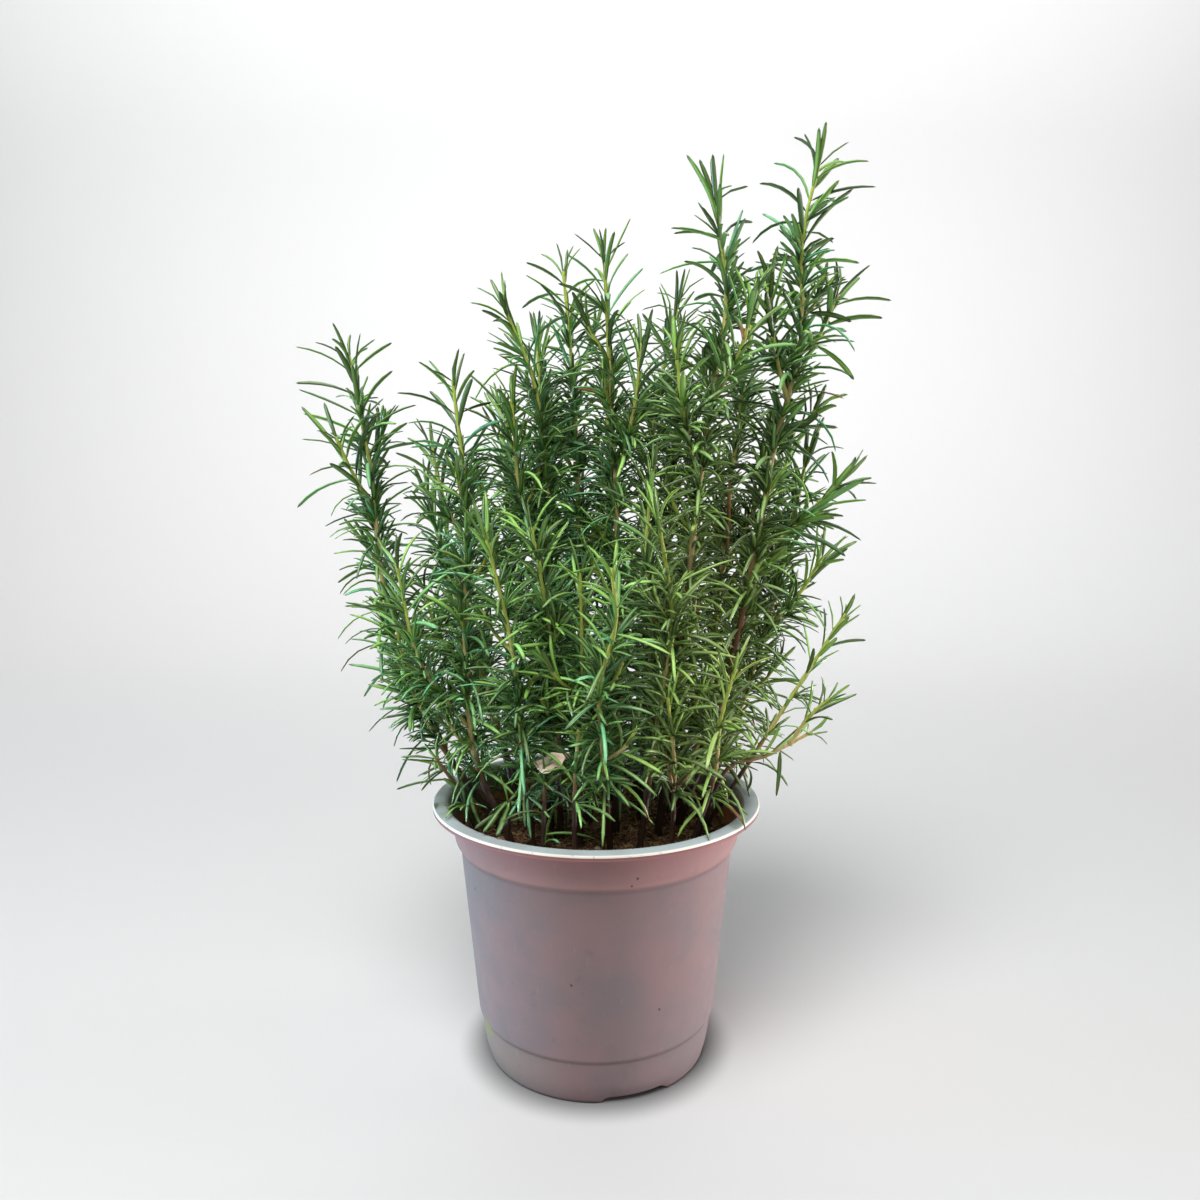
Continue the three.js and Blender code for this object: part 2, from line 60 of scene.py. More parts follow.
# Pot, as radius and height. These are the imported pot's own sizes, with a crisper step above the foot.
POT_HEIGHT = 137
WALL = 1.4
FLOOR = 4
BASE_RADIUS = 58
BASE_CHAMFER = 1.5
ANKLE_RADIUS = 59.7
ANKLE_HEIGHT = 9
FOOT_RADIUS = 61.4
FOOT_HEIGHT = 24
STEP_HALF = 0.9
WALL_FOOT_RADIUS = 62.6
WALL_TOP_RADIUS = 71
SHOULDER_HEIGHT = 113
SHOULDER_RADIUS = 73.6
SHOULDER_TOP_RADIUS = 76.8
SHOULDER_STEP = 3.5
SHOULDER_TOP_HEIGHT = 133
RIM_INNER_RADIUS = 78
RIM_ROOT_RADIUS = 78.6
RIM_RADIUS = 85
RIM_FALL = 0.7
LIP_DROP = 2.8
RIM_THICKNESS = 1.2
CHANNEL_COUNT = 3
CHANNEL_WIDTH = 30
CHANNEL_DEPTH = 2.6
CHANNEL_START = 26
FIRST_CHANNEL_ANGLE = -70
DRAIN_HOLE_RADIUS = 4.5
DRAIN_HOLE_PLACE = 44

SOIL_LEVEL = 117.5
SOIL_RADIUS = 72.1

# Wood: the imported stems' own lines. root is where a stem leaves the soil, bare is the length of wood
# without needles, and each shoot is the height where it leaves its stem and the points that it passes.
# HABIT holds what most stems share: thick scales the wood, leafy is the share of the needles that a stem
# still has, long, wide and lean scale their length, width and angle, and loose lists the foot and the tip
# of needles that hang loose.
HABIT = dict(thick=0.86, leafy=1, long=1, wide=0.8, lean=1, loose=(), shoots=())
STEMS = {
    "stem_left_outer": dict(
        root=(-50, -4), bare=18, long=1.05, wide=0.9,
        through=[(-76, -2, 156), (-104, 2, 214), (-112, 5, 262), (-115, 7, 300), (-125, 8, 363)],
        shoots=[(172, (-94, -16, 200), (-100, -22, 240)), (286, (-123, 0, 304), (-130, -4, 322))]),
    "stem_left_second": dict(
        root=(-44, -20), bare=20,
        through=[(-58, -27, 158), (-63, -32, 205), (-62, -30, 290), (-68, -25, 348)],
        shoots=[(268, (-73, -24, 290), (-80, -16, 316)), (178, (-84, -37, 214), (-94, -40, 262))]),
    "stem_left_middle": dict(
        root=(-24, -3), bare=22, through=[(-25, 0, 200), (-25, -4, 300), (-31, -7, 350), (-44, -10, 383)],
        shoots=[(250, (-37, -12, 290), (-41, -14, 340))]),
    "stem_middle": dict(
        root=(-4, 10), bare=22, through=[(-5, 14, 190), (-9, 20, 280), (-12, 24, 350), (-17, 25, 408)],
        shoots=[(300, (-27, 14, 338), (-30, 12, 366))]),
    "stem_middle_front": dict(
        root=(10, -8), bare=22, through=[(12, -2, 200), (10, -3, 290), (6, -6, 370), (4, -8, 410)],
        shoots=[(300, (18, -16, 332), (22, -20, 366))]),
    "stem_middle_right": dict(
        root=(24, 16), bare=20, through=[(28, 26, 215), (29, 34, 310), (36, 38, 360), (44, 38, 396)]),
    "stem_right": dict(
        root=(32, -12), bare=26, wide=0.95,
        through=[(39, -19, 180), (46, -24, 262), (54, -22, 330), (62, -20, 386), (56, -18, 435)],
        shoots=[(300, (41, -32, 334), (37, -34, 362)), (335, (68, -30, 362), (73, -32, 384))]),
    "stem_right_tall": dict(
        root=(44, 3), bare=26, long=1.12, wide=1.05,
        through=[(62, -4, 180), (77, -6, 245), (89, -4, 316), (102, 1, 368), (102, 2, 420), (109, 2, 454)],
        shoots=[(262, (106, 4, 282), (126, 8, 300)), (340, (88, -6, 366), (84, -8, 394)),
                (350, (112, 6, 372), (122, 10, 394))]),
    "stem_right_inner": dict(
        root=(56, 18), bare=18, through=[(78, 16, 180), (98, 20, 250), (112, 22, 318)],
        shoots=[(220, (104, 6, 240), (116, 0, 262))]),
    "stem_low_right": dict(
        root=(58, -2), bare=50, thick=0.7, leafy=0.55, long=0.75, lean=0.6,
        through=[(80, -8, 158), (104, -13, 200), (126, -10, 234)]),
    "twig_low_right": dict(
        root=(52, -19), bare=60, thick=0.7, leafy=0.45, long=0.75, lean=0.65,
        through=[(67, -22, 158), (84, -24, 164), (108, -22, 176)],
        shoots=[(170, (104, -32, 186), (113, -35, 196))],
        loose=[((92, -24, 167), (91, -24, 143))]),
    "stem_front_middle": dict(
        root=(7, -29), bare=50, through=[(4, -50, 165), (2, -64, 208), (9, -74, 240), (7, -77, 263)]),
    "stem_front_inner": dict(root=(-8, -26), bare=56, through=[(-6, -46, 200), (-7, -62, 260)]),
    "shoot_front_low": dict(root=(-10, -47), bare=14, leafy=0.75, through=[(-10, -54, 150), (-8, -60, 187)]),
    "shoot_front_right_low": dict(root=(37, -38), bare=34, through=[(37, -50, 168), (33, -61, 202)]),
    "shoot_front_left_low": dict(
        root=(-43, -42), bare=10, leafy=0.5, lean=1.3, through=[(-41, -49, 150)],
        loose=[((-42, -50, 150), (-53, -62, 138.6)), ((-43, -49, 146), (-57, -58, 138.6)),
               ((-41, -50, 148), (-46, -67, 138.8))]),
    "shoot_front_small": dict(root=(-26, -46), bare=12, leafy=0.6, lean=1.2, through=[(-24, -50, 160)]),
    "stem_front_left": dict(
        root=(-31, -32), bare=24, through=[(-35, -42, 170), (-38, -53, 220), (-50, -61, 280)]),
    "stem_front_left_inner": dict(
        root=(-18, -18), bare=30, through=[(-19, -30, 180), (-22, -48, 235), (-29, -58, 280)]),
    "stem_front_right": dict(
        root=(22, -30), bare=52, through=[(30, -42, 190), (35, -56, 236), (28, -64, 284)],
        shoots=[(210, (24, -44, 260), (26, -45, 306))]),
    "stem_right_front": dict(
        root=(47, -33), bare=34, through=[(57, -42, 160), (59, -49, 190), (65, -52, 214)]),
    "shoot_left_low": dict(
        root=(-60, -18), bare=8, leafy=0.5, lean=1.2, through=[(-68, -22, 144), (-80, -26, 164)]),
    "stem_back_left": dict(
        root=(-42, 20), bare=20, through=[(-62, 36, 190), (-84, 48, 250), (-96, 54, 298)],
        shoots=[(190, (-84, 24, 216), (-92, 16, 246))]),
    "stem_back_left_outer": dict(
        root=(-42, 38), bare=18, through=[(-66, 66, 180), (-84, 80, 235), (-92, 86, 284)]),
    "stem_back_left_middle": dict(
        root=(-24, 36), bare=20, through=[(-38, 60, 200), (-50, 75, 270), (-56, 80, 342)],
        shoots=[(230, (-60, 56, 266), (-64, 46, 300))]),
    "stem_back_inner": dict(
        root=(-10, 28), bare=24, through=[(-18, 42, 210), (-26, 52, 300), (-32, 55, 376)],
        shoots=[(270, (-42, 36, 306), (-48, 28, 336))]),
    "stem_back_low": dict(
        root=(-10, 56), bare=16, through=[(-14, 86, 190), (-18, 102, 250), (-20, 108, 298)]),
    "stem_back_middle": dict(
        root=(8, 44), bare=20, through=[(8, 68, 200), (8, 82, 280), (6, 88, 350)],
        shoots=[(240, (-6, 62, 276), (-8, 54, 314))]),
    "stem_back_right_inner": dict(
        root=(28, 38), bare=22, through=[(38, 54, 210), (44, 62, 310), (48, 66, 386)],
        shoots=[(290, (60, 54, 324), (62, 46, 352))]),
    "stem_back_right_low": dict(
        root=(22, 54), bare=16, through=[(44, 84, 190), (58, 98, 246), (64, 104, 296)]),
    "stem_back_right": dict(
        root=(40, 22), bare=20, through=[(62, 34, 200), (74, 42, 300), (84, 46, 384)],
        shoots=[(250, (86, 34, 286), (92, 30, 326))]),
    "stem_back_right_outer": dict(
        root=(45, 36), bare=18, through=[(78, 56, 186), (98, 66, 250), (110, 70, 316)],
        shoots=[(210, (72, 74, 244), (72, 82, 284))]),
}


# Settings

def from_hex(code):
    """The linear colour of a screen colour such as #a08c8c."""
    channels = [int(code[i:i + 2], 16) / 255 for i in (1, 3, 5)]
    return tuple(c / 12.92 if c <= 0.04045 else ((c + 0.055) / 1.055) ** 2.4 for c in channels)


def colour(name, code, description):
    return bpy.props.FloatVectorProperty(
        name=name, description=description, default=from_hex(code), subtype="COLOR", size=3, min=0, max=1)


def length(name, millimetres, description):
    return bpy.props.FloatProperty(
        name=name, description=description, default=millimetres * MM, unit="LENGTH", subtype="DISTANCE")


class NeedleSettings(bpy.types.PropertyGroup):
    seed: bpy.props.IntProperty(name="Seed", description="Picks the plant's random draws", default=7)
    needle_length: length("Needle length", 28, "A full-grown needle's length")
    needle_width: length("Needle width", 2.9, "A full-grown needle's width")
    internode: length("Leaf spacing", 4.8, "Distance between two pairs of needles on old wood")
    cluster: bpy.props.FloatProperty(
        name="Side clusters", description="Share of the leaf axils that carry a cluster of short needles",
        default=0.8, min=0, max=1, subtype="FACTOR")
    old_green: colour("Old needles", "#78a44e", "Upper face of a full-grown needle")
    deep_green: colour("Shaded needles", "#4c9066", "Bluer green that some needles have")
    young_green: colour("Young needles", "#5a8028", "Needles at the tips of the tall stems")
    fresh_green: colour("Fresh needles", "#6c9436", "Needles at the tips of the low shoots")
    olive_green: colour("Olive needles", "#8f9446", "Needles low on the right-hand side")
    # Painted highlight: a pale stripe along the groove of each needle's upper face.
    groove_highlight: colour("Groove", "#b2d88a", "Paler groove along a needle's upper face")
    # Painted shade: dark lines along each needle's rolled edges.
    edge_shade: colour("Edges", "#1c3617", "Dark rolled edges of a needle")
    underside: colour("Underside", "#86a258", "Paler felted underside along the midrib")
    withered: colour("Withered", "#7a5230", "Dry tips and dead needles")


class WoodSettings(bpy.types.PropertyGroup):
    tip: colour("Green wood", "#a9b54c", "Wood at the tips")
    young: colour("Young wood", "#cdb97c", "Tan wood of this year")
    ripe: colour("Ripe wood", "#86603f", "Brown bark")
    # Also painted on low wood of any age, as shade among the stems.
    old: colour("Old wood", "#4a352b", "Dark reddish bark near the soil")


class PotSettings(bpy.types.PropertyGroup):
    segments: bpy.props.IntProperty(
        name="Segments", description="Steps round the pot", default=160, min=48, max=384)
    rose: colour("Plastic", "#886e6f", "The wall's dusty rose")
    mottle: colour("Mottling", "#7a6c6e", "The wall's greyer patches")
    # Painted shade: the redder, darker band under the flange stands for the flange's shadow.
    shoulder_shade: colour("Shoulder", "#a07876", "The redder band under the flange")
    # Painted shadow: darkest just under the lip, fading downwards.
    under_lip_shadow: colour("Under the lip", "#8f6062", "The darkest part of the band")
    foot: colour("Foot", "#85776c", "Beige weathering on the foot")
    # Painted shade in the steps and painted contact shadow along the base; the same colour is also real grime
    # and the flange's notch.
    crease_shade_and_grime: colour("Creases", "#4d3b38", "Dirt in the steps, and grime")
    # Painted reflection: the cool grey stands in for the sky reflected in the flange's top.
    flange: colour("Flange", "#b6c3c6", "Cool grey top of the flange")
    stain: colour("Flange stain", "#93a88c", "Greenish stain on the left of the flange")
    # Painted highlight along the lip's top corner, with some wear; also real scuffs on the wall.
    lip: colour("Lip", "#e8e4da", "Cream edge of the lip")
    # Painted shadow: a thin dark line under the lip's top corner.
    lip_shadow_line: colour("Lip line", "#7c4034", "Red-brown line below the cream edge")
    # Painted light: the terracotta stands in for warm light bounced inside the pot.
    inside: colour("Inside", "#d98a62", "Stained inner wall above the soil")
    # Painted shade on the inner wall below the flange.
    inside_top_shade: colour("Inside top", "#958a80", "Inner wall below the flange")
    moss: colour("Moss", "#7d8440", "Green-yellow mark at the foot's step")


class SoilSettings(bpy.types.PropertyGroup):
    peat: colour("Peat", "#7d5a45", "Damp dark potting mix")
    dry: colour("Dry crumbs", "#bd9270", "Drier crumbs on top")
    bark: colour("Bark", "#9a6444", "Bark chips")
    fibre: colour("Fibres", "#e0bd92", "Roots and fibres")
    chip: colour("Pale chips", "#d8cbb8", "Pale mineral chips")
    dead_leaf: colour("Dead leaf", "#ffe3d0", "Broad dead leaf caught in the stems")
    crumbs: bpy.props.IntProperty(name="Crumbs", description="Loose crumbs on the soil", default=900, min=0)


class StageSettings(bpy.types.PropertyGroup):
    floor: colour("Floor", "#dedede", "Plain floor and backdrop")
    camera_height: length("Camera height", 302, "Height of the camera over the surface")
    camera_distance: length("Camera distance", 500, "Distance from the camera to the pot's axis")
    camera_side: length("Camera offset", 2, "How far the camera stands to the right of the axis")
    camera_pitch: bpy.props.FloatProperty(
        name="Camera pitch", description="How far the camera looks down",
        default=math.radians(7.1), subtype="ANGLE")
    lens: bpy.props.FloatProperty(
        name="Lens", description="Focal length in millimetres on a 36 mm sensor", default=29.4)


# Meshes

class MeshParts:
    """Gathers points, faces and the facts that materials read, and makes one mesh object of them."""

    def __init__(self, *facts):
        self.points = []
        self.faces = []
        self.maps = []
        self.looks = []
        self.facts = {name: [] for name in facts}
        self.count = 0

    def add_points(self, points, **facts):
        points = np.asarray(points, float).reshape(-1, 3)
        self.points.append(points)
        for name, values in self.facts.items():
            value = np.asarray(facts.get(name, 0.0), float)
            values.append(np.broadcast_to(value.reshape(-1), (len(points),)))
        start = self.count
        self.count += len(points)
        return start

    def add_faces(self, start, faces, uvs=None, look=0):
        self.faces.append(np.asarray(faces) + start)
        self.looks.append(np.full(len(faces), look))
        self.maps.append(None if uvs is None else uvs.reshape(-1, 2))

    def add_skin(self, points, rings, sides, on_map=None, look=0, **facts):
        """Adds a closed skin over its first point, its rings of points and its last point."""
        start = self.add_points(points, **facts)
        for faces, places in skin(rings, sides):
            self.add_faces(start, faces, on_map and on_map(places), look)

    def to_object(self, name, *materials):
        mesh = bpy.data.meshes.new(name)
        points = np.concatenate(self.points) * MM
        mesh.vertices.add(len(points))
        mesh.vertices.foreach_set("co", points.ravel())
        corners = np.concatenate([f.ravel() for f in self.faces])
        sizes = np.concatenate([np.full(len(f), f.shape[1]) for f in self.faces])
        mesh.loops.add(len(corners))
        mesh.loops.foreach_set("vertex_index", corners.astype(np.int32))
        mesh.polygons.add(len(sizes))
        mesh.polygons.foreach_set("loop_start", (np.cumsum(sizes) - sizes).astype(np.int32))
        mesh.polygons.foreach_set("material_index", np.concatenate(self.looks).astype(np.int32))
        mesh.update(calc_edges=True)
        for fact, values in self.facts.items():
            attribute = mesh.attributes.new(fact, "FLOAT", "POINT")
            attribute.data.foreach_set("value", np.concatenate(values).astype(np.float32))
        if all(uvs is not None for uvs in self.maps):
            uv_map = mesh.uv_layers.new(name="OFBake")
            uv_map.data.foreach_set("uv", np.concatenate(self.maps).astype(np.float32).ravel())
        mesh.validate()
        mesh.shade_smooth()
        for material in materials:
            mesh.materials.append(material)
        piece = bpy.data.objects.new(name, mesh)
        bpy.context.scene.collection.objects.link(piece)
        return piece


def skin(rings, sides):
    """The quads and the end triangles of a closed skin over a first point, rings of points and a last point.

    Each kind comes as point numbers, and as places: how many rings up and how many sides round a corner is.
    """
    j = np.arange(sides)
    up, side = (grid.ravel() for grid in np.meshgrid(np.arange(1, rings), j, indexing="ij"))
    first, last = np.ones(sides), np.full(sides, rings)
    kinds = (
        [(up, side), (up, side + 1), (up + 1, side + 1), (up + 1, side)],
        [(first - 1, j + 0.5), (first, j + 1), (first, j)],
        [(last, j), (last, j + 1), (last + 1, j + 0.5)],
    )
    for corners in kinds:
        places = np.moveaxis(np.array(corners, float), 2, 0)
        numbers = (places[..., 0] - 1) * sides + 1 + np.floor(places[..., 1]) % sides
        yield np.clip(numbers, 0, rings * sides + 1).astype(int), places


def finish_piece(piece, slot, *nodes):
    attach(piece, BODY)
    if nodes:
        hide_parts(*nodes)


def lerp(low, high, share):
    return low + (high - low) * share


def ease(value, start, end):
    """Zero before the start, one beyond the end and a soft step between. The end may lie below the start."""
    share = min(max((value - start) / (end - start), 0.0), 1.0)
    return share * share * (3 - 2 * share)


def change(value, first, second, start, end):
    return lerp(first, second, ease(value, start, end))


def turned(vector, axis, degrees):
    return Matrix.Rotation(math.radians(degrees), 3, axis) @ vector


def steps_round(count):
    return np.arange(count) / count * math.tau


# Materials, in metres

TIP_DARK = (0.022, 0.032, 0.008)
BARK_CRACK = (0.02, 0.012, 0.01)
SPECK = (0.03, 0.018, 0.018)
DAMP_STAIN = (0.05, 0.038, 0.03)
# Painted shade in the soil's hollows.
SOIL_HOLLOW_SHADE = (0.008, 0.005, 0.004)
LITTER_DARK = (0.03, 0.02, 0.015)
DEAD_WOOD = (0.42, 0.19, 0.05)
# Painted contact shadow on the floor.
CONTACT_SHADOW = (0.02, 0.02, 0.02)


class Shade:
    """A Principled material and short calls that add nodes to it."""

    def __init__(self, name, roughness, specular=0.5):
        self.material = bpy.data.materials.new(name)
        self.material.use_nodes = True
        self.tree = self.material.node_tree
        self.shader = self.tree.nodes["Principled BSDF"]
        self.shader.inputs["Roughness"].default_value = roughness
        self.shader.inputs["Specular IOR Level"].default_value = specular

    def node(self, kind, inputs=None, **settings):
        made = self.tree.nodes.new(kind)
        for name, value in settings.items():
            setattr(made, name, value)
        for socket, value in (inputs or {}).items():
            self.feed(made.inputs[socket], value)
        return made

    def feed(self, socket, value):
        if isinstance(value, bpy.types.NodeSocket):
            self.tree.links.new(value, socket)
        elif socket.type == "RGBA":
            socket.default_value = (*value, 1)
        else:
            socket.default_value = value

    def place(self):
        return self.node("ShaderNodeTexCoord").outputs["Object"]

    def axis(self, which):
        return self.node("ShaderNodeSeparateXYZ", {0: self.place()}).outputs[which]

    def fact(self, name):
        return self.node("ShaderNodeAttribute", attribute_name=name).outputs["Fac"]

    def work_out(self, operation, first, second=0.0):
        return self.node("ShaderNodeMath", {0: first, 1: second}, operation=operation).outputs[0]

    def times(self, first, second):
        return self.work_out("MULTIPLY", first, second)

    def ramp(self, value, low, high, to_low=0.0, to_high=1.0):
        inputs = {"Value": value, 1: low, 2: high, 3: to_low, 4: to_high}
        return self.node("ShaderNodeMapRange", inputs, interpolation_type="SMOOTHSTEP").outputs[0]

    def mix(self, share, first, second, blend="MIX"):
        made = self.node("ShaderNodeMix", {0: share, 6: first, 7: second}, data_type="RGBA", blend_type=blend)
        return made.outputs[2]

    def layers(self, base, *coats):
        """The base colour under coats, each a share and a colour."""
        for share, coat in coats:
            base = self.mix(share, base, coat)
        return base

    def noise(self, scale, detail=3.0, rough=0.5, stretch=None):
        place = self.place()
        if stretch:
            place = self.node("ShaderNodeMapping", {"Vector": place, "Scale": stretch}).outputs[0]
        inputs = {"Vector": place, "Scale": scale, "Detail": detail, "Roughness": rough}
        return self.node("ShaderNodeTexNoise", inputs).outputs["Fac"]

    def vector(self, operation, first, second=(0, 0, 0), result=0):
        return self.node("ShaderNodeVectorMath", {0: first, 1: second}, operation=operation).outputs[result]

    def reach(self):
        """Distance from the upright axis."""
        return self.vector("LENGTH", self.vector("MULTIPLY", self.place(), (1, 1, 0)), result="Value")

    def distance(self, place, stretch=(1, 1, 1)):
        """Distance from a place given in millimetres, less along an axis with a small stretch."""
        away = self.vector("SUBTRACT", self.place(), Vector(place) * MM)
        return self.vector("LENGTH", self.vector("MULTIPLY", away, stretch), result="Value")

    def near(self, value, centre, width):
        """One where the value is at the centre, and zero a width away."""
        off = self.work_out("ABSOLUTE", self.work_out("SUBTRACT", value, centre))
        return self.ramp(off, width, width * 0.2)

    def spots(self, scale, radius):
        """Round spots of one radius, one in each cell."""
        made = self.node("ShaderNodeTexVoronoi", {"Vector": self.place(), "Scale": scale})
        return self.ramp(made.outputs["Distance"], radius * scale * 0.6, radius * scale, 1.0, 0.0)

    def bump(self, height, distance, strength=1.0):
        made = self.node("ShaderNodeBump", {"Height": height, "Distance": distance, "Strength": strength})
        self.feed(self.shader.inputs["Normal"], made.outputs[0])

    def paint(self, result, roughness=None):
        self.feed(self.shader.inputs["Base Color"], result)
        if roughness is not None:
            self.feed(self.shader.inputs["Roughness"], roughness)
        return self.material


# Wood

ROOT_DEPTH = 16
WOOD_LEAST_RADIUS = 1.45
WOOD_RADIUS_PER_LENGTH = 0.0036
TIP_RADIUS = 0.8
SHOOT_RADIUS = 1.1
TWIG_RADIUS = 0.84
SHOOT_BARE = 12
TWIG_BARE = 3
BARE_SHARE = 0.7
STEM_TURN = 137.5
WOOD_STEP = 2.6
TWIG_SPACING = 30
TWIG_LENGTH = (14, 34)
TWIG_LEAN = (32, 55)
TWIG_FIRST = 62
TWIG_LAST = 12
TWIG_RISE = Vector((0, 0, 0.55))
TWIG_ROOM = 6


class Branch:
    """A line of wood: even points from its foot to its tip, with the wood's radius and its own frame.

    Its level is 0 for a stem, 1 for a shoot and 2 for a short side twig.
    """

    def __init__(self, points, radius, bare, across, level):
        self.points = even_points(points, WOOD_STEP)
        self.length = line_length(self.points)
        self.radius = radius
        self.bare = bare
        self.level = level
        self.tangents = tangents_of(self.points)
        self.sides = []
        for tangent in self.tangents:
            across = (across - tangent * across.dot(tangent)).normalized()
            self.sides.append(across)

    def at(self, below):
        """The point, the tangent and the side that lie this far below the tip."""
        last = len(self.points) - 1
        run = min(max((1 - below / self.length) * last, 0), last - 1e-6)
        ring = int(run)
        point = self.points[ring].lerp(self.points[ring + 1], run - ring)
        return point, self.tangents[ring], self.sides[ring]

    def radius_at(self, below):
        return lerp(TIP_RADIUS, self.radius, min(below / self.length, 1))


def line_length(line):
    return sum((b - a).length for a, b in zip(line, line[1:]))


def tangents_of(line):
    return [(b - a).normalized() for a, b in zip([line[0], *line[:-1]], [*line[1:], line[-1]])]


def ring_round(point, tangent, side, radii):
    """A ring of points round a point of a line, one for each of the radii."""
    angles = steps_round(len(radii))[:, None]
    spokes = np.cos(angles) * np.array(side) + np.sin(angles) * np.array(tangent.cross(side))
    return np.array(point) + radii[:, None] * spokes


def curve_through(points, steps=24):
    """A centripetal curve through the points, as closely spaced points."""
    points = [Vector(p) for p in points]
    padded = [points[0] * 2 - points[1], *points, points[-1] * 2 - points[-2]]
    line = []
    for p0, p1, p2, p3 in zip(padded, padded[1:], padded[2:], padded[3:]):
        t1 = math.sqrt((p1 - p0).length)
        t2 = t1 + math.sqrt((p2 - p1).length)
        t3 = t2 + math.sqrt((p3 - p2).length)
        for step in range(steps):
            t = lerp(t1, t2, step / steps)
            a1 = p0.lerp(p1, t / t1)
            a2 = p1.lerp(p2, (t - t1) / (t2 - t1))
            a3 = p2.lerp(p3, (t - t2) / (t3 - t2))
            b1 = a1.lerp(a2, t / t2)
            b2 = a2.lerp(a3, (t - t1) / (t3 - t1))
            line.append(b1.lerp(b2, (t - t1) / (t2 - t1)))
    line.append(points[-1])
    return line


def even_points(line, step):
    """The same line with points that are one step apart."""
    spans = [(b - a).length for a, b in zip(line, line[1:])]
    total = sum(spans)
    count = max(3, round(total / step))
    points = []
    span = 0
    passed = 0.0
    for i in range(count + 1):
        goal = total * i / count
        while span < len(spans) - 1 and passed + spans[span] < goal:
            passed += spans[span]
            span += 1
        share = (goal - passed) / spans[span] if spans[span] else 0
        points.append(line[span].lerp(line[span + 1], min(max(share, 0), 1)))
    return points


def grow(stem, index, draw):
    """The stem's branches: its own wood, its shoots, and short side twigs."""
    turn = math.radians(index * STEM_TURN)
    across = Vector((math.cos(turn), math.sin(turn), 0))
    line = curve_through([(*stem["root"], SOIL_LEVEL + 3), *stem["through"]])
    radius = (WOOD_LEAST_RADIUS + WOOD_RADIUS_PER_LENGTH * line_length(line)) * stem["thick"]
    foot = Vector((*stem["root"], SOIL_LEVEL - ROOT_DEPTH))
    branches = [Branch([foot, *line], radius, stem["bare"] * BARE_SHARE + ROOT_DEPTH, across, 0)]
    for height, *through in stem["shoots"]:
        joint = min(line, key=lambda point: abs(point.z - height))
        branches.append(Branch(curve_through([joint, *through]), SHOOT_RADIUS, SHOOT_BARE, across, 1))
    if stem["leafy"] == 1:
        for parent in list(branches):
            branches.extend(side_twigs(parent, draw))
    return branches


def side_twigs(parent, draw):
    """Short side twigs in the leaf axils of the older part of a branch."""
    twigs = []
    below = TWIG_FIRST * draw.uniform(0.8, 1.2)
    while below < parent.length - parent.bare - TWIG_LAST:
        point, tangent, side = parent.at(below)
        out = turned(side, tangent, draw.uniform(0, 360))
        size = draw.uniform(*TWIG_LENGTH)
        lean = math.radians(draw.uniform(*TWIG_LEAN))
        first = tangent * math.cos(lean) + out * math.sin(lean)
        then = (first + TWIG_RISE).normalized()
        tip = point + first * size * 0.5 + then * size * 0.5
        if is_clear_of_pot(tip, TWIG_ROOM):
            line = curve_through([point, point + first * size * 0.5, tip])
            twigs.append(Branch(line, TWIG_RADIUS, TWIG_BARE, side, 2))
        below += TWIG_SPACING * draw.uniform(0.6, 1.4)
    return twigs


def is_clear_of_pot(point, room):
    """True where a point stays clear of the soil, the wall and the flange by about the room given."""
    over_soil = math.hypot(point.x, point.y) < SHOULDER_RADIUS - WALL - room
    return point.z > (SOIL_LEVEL if over_soil else POT_HEIGHT) + room * 0.6


WOOD_RING = 8
WOOD_SHARE = 0.12  # share of a stem's texture that its wood takes
STRIP_GAP = 0.3  # gap between two branches in the texture, in sides
KNOT_WAVE = 0.12  # how far the wood's section is off round
KNOT_TURN = 1.57
KNOT_SIZE = (0.9, 1.14)
SWOLLEN_FOOT = 1.5
RIPE_LENGTHS = (300, 190)  # a stem's and a shoot's wood is ripe this far below its tip
RIPE_AND_SHADE_HEIGHT = SOIL_LEVEL + 74  # wood of any age darkens from here down: painted shade low among the stems, over the darker old bark
RIPE_AND_SHADE_FALL = 44


def add_wood(parts, branch, strip, strips, look, draw):
    """Adds a branch's wood as a slightly knotted tube with pointed ends."""
    count = len(branch.points)
    rings = []
    for i, (point, tangent, side) in enumerate(zip(branch.points, branch.tangents, branch.sides)):
        radius = lerp(branch.radius, TIP_RADIUS, i / (count - 1)) * draw.uniform(*KNOT_SIZE)
        if branch.level and i == 0:
            radius *= SWOLLEN_FOOT
        wave = 1 + KNOT_WAVE * np.cos(2 * steps_round(WOOD_RING) + i * KNOT_TURN)
        rings.append(ring_round(point, tangent, side, radius * wave))
    first = [branch.points[0] - branch.tangents[0]]
    last = [branch.points[-1] + branch.tangents[-1] * 0.6]
    reach = branch.length * (1 - np.arange(count) / (count - 1))
    heights = np.array([point.z for point in branch.points])
    # the height term paints shade on low wood among the stems, on top of the wood's age
    ripe = np.maximum(reach / RIPE_LENGTHS[branch.level > 0], (RIPE_AND_SHADE_HEIGHT - heights) / RIPE_AND_SHADE_FALL)
    ripe = np.clip(ripe, 0, 1)
    ripe = np.concatenate([ripe[:1], np.repeat(ripe, WOOD_RING), ripe[-1:]])

    def on_map(places):
        side = (places[..., 1] + STRIP_GAP) / (WOOD_RING + 2 * STRIP_GAP)
        return np.stack([places[..., 0] / (count + 1), (strip + side) / strips * WOOD_SHARE], axis=-1)

    points = np.concatenate([first, *rings, last])
    parts.add_skin(points, count, WOOD_RING, on_map, look, ripe=ripe, tone=draw.random())


# Needles. Four numbers are a change: from the first value to the second, between two lengths below the tip,
# or between two heights for KEPT_BY_HEIGHT and DROOP. Angles are in degrees.

